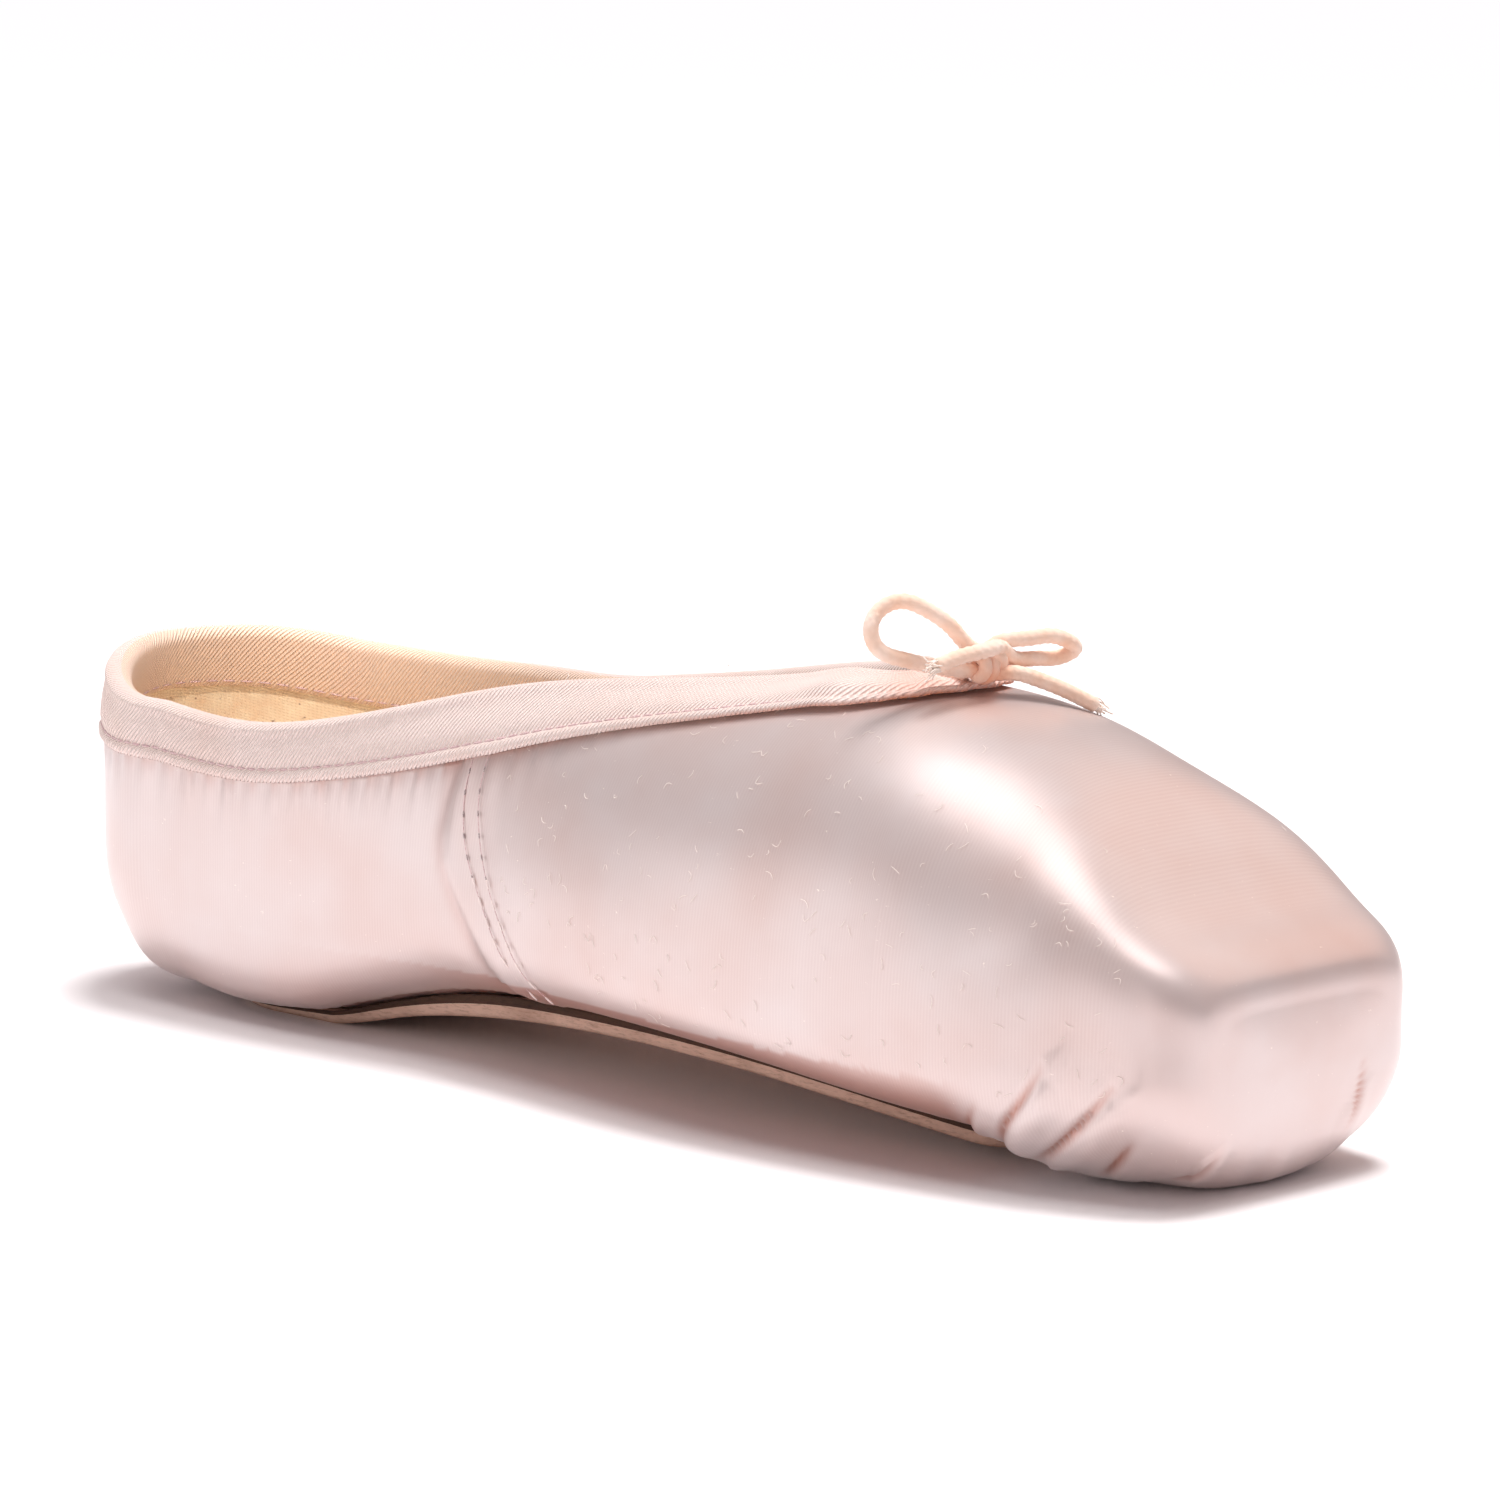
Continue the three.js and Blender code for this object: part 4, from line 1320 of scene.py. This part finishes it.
@dataclass
class Binding:
    """The drawstring casing, folded over the collar's edge round the cord inside it."""

    last: Last
    thick: float = 0.9
    hem: float = 0.5
    gap: float = 0.45
    inside: float = 5.8
    outsides: Table = (
        # at, width of the band outside
        (2, 11.8), (12, 9.6), (24, 7.9), (43, 7.6), (66, 7.8),
        (82, 8.4), (100, 9.3), (126, 9.4), (152, 9.6), (168, 9.8),
    )
    roll_rise: float = 0.3
    roll_out: float = 0.4
    roll_lift: float = 0.7
    hump: float = 1.1
    steps: int = 400
    stitch_rise: float = 1.95
    roll_top: int = 18

    def __post_init__(self) -> None:
        """Sets the frames round the collar's edge."""
        self.edge = self._edge()
        self.normal = self.last.skin_normal(self.edge)
        ahead = unit(np.roll(self.edge, -1, 0) - np.roll(self.edge, 1, 0))
        self.away = unit(np.cross(self.normal, ahead))
        gone = arc_lengths(np.concatenate([self.edge, self.edge[:1]]))
        self.gone, self.total = gone[:-1], gone[-2] + gone[1]
        at, width = np.array(self.outsides).T
        self.outside = np.interp(self.edge[:, 0], at, width)[:, None]

    def _edge(self) -> Array:
        """The collar's edge, from the throat along the near side and round to the far one."""
        last = self.last
        s = np.linspace(last.heel_round, last.throat, 300)
        tail = last.throat - last.throat_round * (1 - np.cos(np.linspace(0, QUARTER, 60)))
        s = np.unique(np.concatenate([s, tail]))[::-1]
        out, height = last.body(s).edge()
        near = np.stack([s, -out, height], -1)
        turn = np.linspace(0, math.pi, 122)[1:-1]
        out, height = last.heel(np.minimum(turn, math.pi - turn)).edge()
        fan = [last.heel_round - out * np.sin(turn), -out * np.cos(turn), height]
        far = (near * np.array([1, -1, 1]))[1:][::-1]
        ring = np.concatenate([near, np.stack(fan, -1), far, near[:1]])
        where = np.linspace(0, arc_lengths(ring)[-1], self.steps, endpoint=False)
        return along_chain(ring, where)

    def band(self, width: Array | float, inset: Array | float) -> Array:
        """A line so far down from the edge and at that inset, as spots of the last."""
        return self.last.on_skin(self.edge + self.away * width, inset)

    def _profile(self) -> list[Array]:
        """Rings of spots round the tape, from its outer hem over the roll to its inner hem."""
        edge, normal, away, outside = self.edge, self.normal, self.away, self.outside
        wall, gap = self.last.wall, self.gap
        full = gap + self.thick
        to_throat = np.minimum(self.gone, self.total - self.gone)
        hump = self.hump * bell(to_throat - 13.5, 5.5)
        ripple = wobble(self.gone * 0.9, 0.3) * 0.1 + hump
        ripple += bell(to_throat, 8) * (0.4 + 0.45 * np.sin(self.gone * 2.3))
        rings = []
        for width, lift in (
            (outside - 0.5, gap + 0.05),
            (outside, gap + self.hem * 0.5),
            (outside - 0.3, gap + self.hem + 0.35),
            (outside - 1.0, full + 0.1),
            (outside - 1.6, full - 0.2),
            (outside - 1.95, full - 0.4),
            (outside - 2.4, full - 0.2),
            (outside - 3.2, full + 0.05),
            (outside - 4.2, full + 0.1),
            (mix(1.4, outside - 4.2, 0.66), full + 0.1),
            (mix(1.4, outside - 4.2, 0.33), full + 0.05),
            (1.2, full),
            (0.4, full + 0.15),
        ):
            inner = smooth_step(outside - width, 2.2, 3.6)[:, 0]
            rings.append(self.band(width, -(lift + ripple * mix(0.25, 1, inner))))
        radius = wall / 2 + full
        for degrees in range(14, 175, 16):
            angle = math.radians(degrees)
            out = self.roll_out - wall / 2 + radius * math.cos(angle)
            out = out + self.roll_lift * (hump * math.cos(angle / 2))[:, None]
            rings.append(edge + normal * out - away * (self.roll_rise + radius * math.sin(angle)))
        for width, lift in (
            (0.6, full),
            (1.8, full),
            (self.inside / 2, full),
            (self.inside - 1.4, full - 0.05),
            (self.inside - 0.4, gap + self.hem + 0.1),
            (self.inside, gap + self.hem * 0.5),
            (self.inside - 0.4, gap + 0.02),
            (self.inside / 2, gap),
        ):
            rings.append(self.band(width, wall + lift))
        for out in (-wall - gap, gap):
            rings.append(edge + normal * out - away * gap)
        return [*rings, self.band(outside / 2, -gap)]

    def build(self, materials: Sequence[Material]) -> Object:
        """Makes the tape, with its outside's material and its inside's, a peachier copy painted
        with bounced light.
        """
        closed = np.stack([self.last.on_last(ring) for ring in self._profile()], 1)
        closed = np.concatenate([closed, closed[:, :1]], 1)
        closed = np.concatenate([closed, closed[:1]], 0)
        up = arc_lengths(closed, 1)
        along = np.broadcast_to(np.append(self.gone, self.total)[:, None], up.shape)
        to_throat = np.minimum(along, self.total - along)
        # painted orange shade on the outer hem near the throat and where the tape bunches
        hem = (np.arange(closed.shape[1]) < 2)[None, :]
        tint = 0.7 * hem * (1 - smooth_step(to_throat, 15, 60)) + 0.3 * bell(to_throat - 4.5, 3.5)
        shell = Shell()
        index = shell.add_grid(Skin(closed, np.stack([along, up], -1), clamp(tint, 0, 1)))
        shell.add_sheet(index[:, : self.roll_top + 1], 0, True)
        shell.add_sheet(index[:, self.roll_top :], 1, True)
        return settle(shell.build("tape_binding", materials), "binding", "binding")

    def rows(self, mauve: Material) -> list[Stitching]:
        """The rows of stitching above the tape's lower edge and on its inside."""
        full = self.gap + self.thick
        found = []
        for name, width, inset, pitch, length, thick in (
            ("tape_stitches", self.outside - self.stitch_rise, 0.35 - full, 2.3, 2.0, 0.42),
            ("inner_tape_stitches", self.inside - 1.4, self.last.wall + full, 3.0, 2.2, 0.32),
        ):
            line = self.band(width, inset)
            line = self.last.on_last(np.concatenate([line, line[:1]]))
            found.append(Stitching(name, line, pitch, length, thick, mauve, "binding"))
        return found


@dataclass
class Strand:
    """A braided strand along a smooth route through a few points of the part."""

    route: Any
    diameter: float = 2.4
    sides: int = 20
    plaits: int = 8
    lay: float = 5.2
    relief: float = 0.14
    step: float = 0.26

    def path(self) -> Array:
        """The strand's middle line, in millimetres."""
        rough = smooth_line(np.array(self.route, float), 500)
        length = arc_lengths(rough)[-1]
        return along_chain(rough, np.linspace(0, length, max(int(length / self.step), 8)))

    def skin(self) -> Skin:
        """The strand's surface, its braid as relief, closed at both ends."""
        path = self.path()
        gone = arc_lengths(path)
        ahead = unit(np.gradient(path, axis=0))
        side = np.cross(ahead[0], [0.1, 0.2, 1.0])
        across = []
        for way in ahead:
            side = unit(side - way * (side @ way))
            across.append(side)
        first = np.array(across)
        second = np.cross(ahead, first)
        turn = np.linspace(0, 2 * math.pi, self.sides + 1)[None, :]
        twist = 2 * math.pi * gone[:, None] / self.lay
        half = self.plaits / 2
        left, right = (np.abs(np.sin(half * (turn + k * twist) / 2)) ** 0.7 for k in (1, -1))
        over = smooth_step(np.sin(half * turn) * np.sin(half * twist), -0.3, 0.3)
        radius = self.diameter / 2 * (1 - self.relief * (1 - mix(left, right, over)))
        end = np.minimum(gone, gone[-1] - gone)
        radius = radius * rounded_end(end, self.diameter * 0.3)[:, None]
        circle = np.cos(turn)[..., None] * first[:, None]
        circle = circle + np.sin(turn)[..., None] * second[:, None]
        points = path[:, None] + radius[..., None] * circle
        return Skin(points, np.stack(np.broadcast_arrays(gone[:, None], turn), -1))


def hair(route: Any, diameter: float, step: float) -> Strand:
    """A single plain fibre."""
    return Strand(route, diameter, sides=5, plaits=2, lay=5.0, relief=0.0, step=step)


def twine(name: str, strands: Iterable[Strand], material: Material) -> Object:
    """Makes one mesh of some strands."""
    shell = Shell()
    for strand in strands:
        shell.add_sheet(shell.add_grid(strand.skin()))
    return shell.build(name, [material])


@dataclass
class Bow:
    """The drawstring's bow: two cords, the knot that wraps them, and their frayed tips.

    A cord leaves the casing, passes through the knot, makes its loop and comes back as a tail.
    """

    left: Table = (
        (52.0, 0.6, 65.6), (56.0, 0.9, 66.3), (59.6, 1.2, 67.0), (60.6, 0.2, 69.2),
        (58.6, -2.2, 70.2), (57.2, -6, 73.5), (55.2, -9.5, 76.4), (52.6, -12.5, 77.7),
        (50.9, -15.2, 76.4), (50.8, -16.8, 74.0), (51.6, -16.3, 71.2), (53.8, -13, 69.4),
        (55.6, -8, 68.1), (58.2, -2.9, 67.3), (60.2, -0.2, 66.9), (62, 2.4, 66.9),
        (63.4, 4.5, 66.2), (65.7, 8, 64.6), (67.6, 11, 62.9), (68.8, 13, 61.7),
    )
    right: Table = (
        (52.0, -1.8, 65.6), (55.4, -1.9, 66.6), (57.6, -0.4, 69.0), (59.0, 1.6, 71.0),
        (61.4, 5.5, 71.6), (63.0, 8.4, 71.9), (63.9, 11.6, 71.0), (63.9, 13.3, 69.7),
        (62.9, 12.4, 68.7), (61.5, 7.5, 68.5), (60.4, 3.6, 68.8), (60.6, 0.6, 70.6),
        (61.0, -2.6, 70.7), (60.2, -6, 70.2), (59.4, -9, 69.6), (58.8, -11.5, 68.8),
    )
    knot: Point = (58.9, -0.4, 68.0)
    knot_reach: float = 1.7
    knot_width: float = 2.56
    knot_rise: float = 0.5
    knot_cord: float = 2.1
    wraps: float = 3.2
    wrap_start: float = -0.6
    fibres: int = 34
    fibre: float = 0.24
    seed: int = 7
    tips: tuple[tuple[Point, Point], ...] = (
        # tip, direction
        ((68.6, 12.8, 61.9), (0.42, 0.62, -0.32)),
        ((58.9, -11.3, 68.9), (-0.25, -0.95, -0.2)),
    )

    def cord(self, name: str, route: Table, material: Material, *nodes: str) -> None:
        """Makes one cord and logs its length."""
        strand = Strand(route)
        path = strand.path()
        length = float(arc_lengths(path)[-1])
        piece = settle(twine(name, [strand], material), "drawstring", *nodes)
        LOG.info("%s is %.1f mm long", name, length)

    def wrap(self) -> Strand:
        """The strand that wraps round the knot."""
        start = self.wrap_start * math.pi
        turn = np.linspace(start, start + 2 * self.wraps * math.pi, 36)
        share = np.linspace(-1, 1, 36)
        reach = self.knot_reach * (1 - 0.7 * share**8)
        ring = [reach * np.cos(turn), share * self.knot_width]
        ring.append(reach * np.sin(turn) + self.knot_rise * share)
        return Strand(np.stack(ring, -1) + np.array(self.knot), self.knot_cord)

    def frays(self) -> list[Strand]:
        """Loose fibres at the cord's two cut tips."""
        found = []
        rng = np.random.default_rng(self.seed)
        for tip, way in self.tips:
            way = unit(np.array(way))
            for _ in range(self.fibres):
                start = np.array(tip) - way * 0.8 + rng.normal(0, 0.5, 3)
                bend = way + rng.normal(0, 0.28, 3)
                reach = rng.uniform(1.4, 2.6)
                route = [start, start + way * reach * 0.5, start + bend * reach]
                found.append(hair(route, self.fibre, 0.3))
        return found

    def build(self, braid: Material, frayed: Material) -> None:
        """Makes the bow's pieces."""
        nodes = ("drawstring_left_loop", "drawstring_right_tail")
        self.cord("drawstring_left", self.left, braid, *nodes)
        nodes = ("drawstring_right_loop", "drawstring_left_tail")
        self.cord("drawstring_right", self.right, braid, *nodes)
        wraps = twine("drawstring_knot_wraps", [self.wrap()], braid)
        settle(wraps, "drawstring", "drawstring_knot")
        settle(twine("drawstring_frayed_tips", self.frays(), frayed), "drawstring")


@dataclass
class Lint:
    """Short pale fibres caught on the satin."""

    last: Last
    count: int = 300
    diameter: float = 0.075
    span: tuple[float, float] = (105, 228)
    lowest: float = 14
    near_share: float = 0.6
    lift: float = 0.16
    seed: int = 11

    def _fibre(self, rng: np.random.Generator) -> Strand:
        """One fibre at random."""
        last = self.last
        s = rng.uniform(*self.span)
        side = Side.NEAR if rng.random() < self.near_share else Side.FAR
        top = last.body(np.array([s])).top[0]
        spot = last.spot_at(s, rng.uniform(self.lowest, top - 0.6), side)
        normal = last.skin_normal(spot)
        way = unit(np.cross(normal, rng.normal(0, 1, 3)))
        bend = np.cross(normal, way) * rng.normal(0, 0.45)
        half = rng.uniform(0.4, 1.1)
        route = np.stack([spot - way * half, spot + bend, spot + way * half])
        return hair(last.on_last(last.on_skin(route, -self.lift)), self.diameter, 0.35)

    def build(self, material: Material) -> Object:
        """Makes the fibres as one mesh."""
        rng = np.random.default_rng(self.seed)
        strands = (self._fibre(rng) for _ in range(self.count))
        return settle(twine("lint_on_satin", strands, material), "upper")


@dataclass(frozen=True)
class Softbox:
    """A soft rectangular light that faces the shoe, in metres and watts."""

    name: str
    spot: Point
    size: tuple[float, float]
    power: float
    tint: str


@dataclass
class Studio:
    """White floor, soft lights and the camera at the photograph's angle."""

    spot: Point = (0.67915, -0.72884, 0.20538)
    azimuth: float = 42.4555
    elevation: float = 8.9416
    roll: float = 0.978
    lens: float = 160.2
    floor_radius: float = 12
    floor_colour: str = "#fbf7f8"
    aim: Point = (0, 0, 0.03)
    boxes: tuple[Softbox, ...] = (
        # name, spot, size, power, tint
        Softbox("overhead", (0.02, -0.12, 1.2), (1.1, 0.62), 6.4, "#fffaf9"),
        Softbox("softbox", (-1.05, -1.35, 0.3), (0.95, 0.8), 3.7, "#fffcfd"),
        Softbox("front", (0.45, -1.3, 0.95), (1.2, 1.2), 0.25, "#fffaf8"),
        Softbox("strip", (0.41, -1.02, 0.25), (0.07, 0.5), 0.4, "#fffaf8"),
        Softbox("rim", (0.2, 0.9, 0.95), (0.9, 0.9), 1.9, "#ffd2b8"),
    )
    snoot_spot: Point = (0.15, -0.3, 0.5)
    snoot_aim: Point = (-0.098, 0.02, 0.066)
    snoot_power: float = 11.0
    snoot_angle: float = 8.5
    snoot_radius: float = 0.02
    snoot_tint: str = "#fff0e0"
    sun_way: Point = (0.06, -0.25, -1.0)
    sun_power: float = 2.9
    sun_angle: float = 18
    sky: tuple[float, float, float, float] = (1, 0.95, 0.98, 1)
    sky_power: float = 0.25

    def camera(self) -> None:
        """Sets the camera."""
        a, e, r = (math.radians(v) for v in (self.azimuth, self.elevation, self.roll))
        back = Vector((math.sin(a) * math.cos(e), -math.cos(a) * math.cos(e), math.sin(e)))
        right = Vector((math.cos(a), math.sin(a), 0))
        up = back.cross(right)
        turned = right * math.cos(r) + up * math.sin(r)
        upright = up * math.cos(r) - right * math.sin(r)
        data = bpy.data.cameras.new("camera")
        data.lens = self.lens
        data.sensor_width = 36
        data.sensor_fit = "AUTO"
        data.clip_end = 50
        made = stand("camera", data)
        basis = Matrix((turned, upright, back)).transposed().to_4x4()
        made.matrix_world = Matrix.Translation(self.spot) @ basis
        bpy.context.scene.camera = made

    def floor(self) -> None:
        """Lays the pale floor."""
        mesh = bpy.data.meshes.new("floor")
        shape = bmesh.new()
        bmesh.ops.create_circle(shape, cap_ends=True, segments=96, radius=self.floor_radius)
        shape.to_mesh(mesh)
        shape.free()
        mesh.materials.append(Graph("floor paper").finish(linear(self.floor_colour), 0.9))
        stand("floor", mesh)

    def light(self, name: str, kind: str, spot: Point, aim: Point, **settings: Any) -> Object:
        """Hangs a light.

        Args:
            name: the light's name.
            kind: AREA, SPOT or SUN.
            spot: where it hangs.
            aim: the point that it faces.
            settings: its own attributes.

        Returns:
            The light.
        """
        data = bpy.data.lights.new(name, kind)
        for key, value in settings.items():
            setattr(data, key, value)
        made = stand(name, data)
        turn = (Vector(aim) - Vector(spot)).to_track_quat("-Z", "Y").to_matrix().to_4x4()
        made.matrix_world = Matrix.Translation(spot) @ turn
        return made

    def lights(self) -> None:
        """Hangs the soft lights, a narrow beam on the far wall inside the collar, and a sun."""
        for box in self.boxes:
            settings = {"shape": "RECTANGLE", "energy": box.power, "color": linear(box.tint)[:3]}
            settings |= {"size": box.size[0], "size_y": box.size[1]}
            self.light(box.name, "AREA", box.spot, self.aim, **settings)
        beam = {"energy": self.snoot_power, "spot_size": math.radians(self.snoot_angle)}
        beam |= {"spot_blend": 1.0, "shadow_soft_size": self.snoot_radius}
        beam |= {"color": linear(self.snoot_tint)[:3]}
        snoot = self.light("snoot", "SPOT", self.snoot_spot, self.snoot_aim, **beam)
        wide = {"angle": math.radians(self.sun_angle), "energy": self.sun_power}
        sun = self.light("sun", "SUN", (0, 0, 0), self.sun_way, **wide)
        for hidden in (snoot, sun):
            hidden.visible_glossy = False

    def build(self) -> None:
        """Sets everything up."""
        self.camera()
        self.floor()
        self.lights()
        world = bpy.data.worlds.new("studio")
        world.use_nodes = True
        scene = bpy.context.scene
        scene.world = world
        sky = world.node_tree.nodes["Background"]
        feed(world.node_tree, sky, {"Color": self.sky, "Strength": self.sky_power})
        scene.view_settings.view_transform = "Standard"
        scene.view_settings.look = "None"


def main() -> None:
    """Builds the shoe and its studio."""
    logging.basicConfig(level=logging.INFO)
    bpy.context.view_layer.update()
    last = Last()
    sole = last.sole
    Studio().build()
    Bow().build(Braid().material(), thread("frayed cotton", "#fff0e2"))
    upper = Upper(last)
    upper.build(Satin().material(), Canvas("canvas lining").material())
    leather = RawLeather().material()
    # dark leather for the top strip of the sole's edge: painted shade of the gap under the satin
    glued_edge_shade = RawLeather("glued leather edge", "#4f3526", "#2c1a12").material()
    board = Canvas("insole canvas", "#ecd6bd").material()
    outsole = Plate(last, "leather_outsole", sole.start, sole.end, last.outsole, bevel=0.7)
    settle(outsole.build([leather, glued_edge_shade]), "outsole", "outsole")
    insole = Plate(last, "insole_board", start=24, end=198, heights=last.insole, bevel=0.2)
    settle(insole.build([board, board]), "insole", "insole")
    binding = Binding(last)
    # a peachier copy of the tape for its inside: painted bounced light inside the collar
    inside = Tape("inner cotton tape", "#ffe4d0", "#f6c8a8").material()
    binding.build([Tape().material(), inside])
    mauve = thread("mauve thread", "#c79aa0")
    # dark dashes for the needle holes: painted shade in the holes
    dark = thread("dark thread", "#6b4b50")
    pale = thread("pale thread", "#f6e3df")
    stitches = StitchTree()
    for row in binding.rows(mauve) + upper.seam_rows(mauve, dark, pale):
        stitches.sew(row)
    Lint(last).build(thread("lint", "#fff6ee"))


if __name__ == "__main__":
    main()
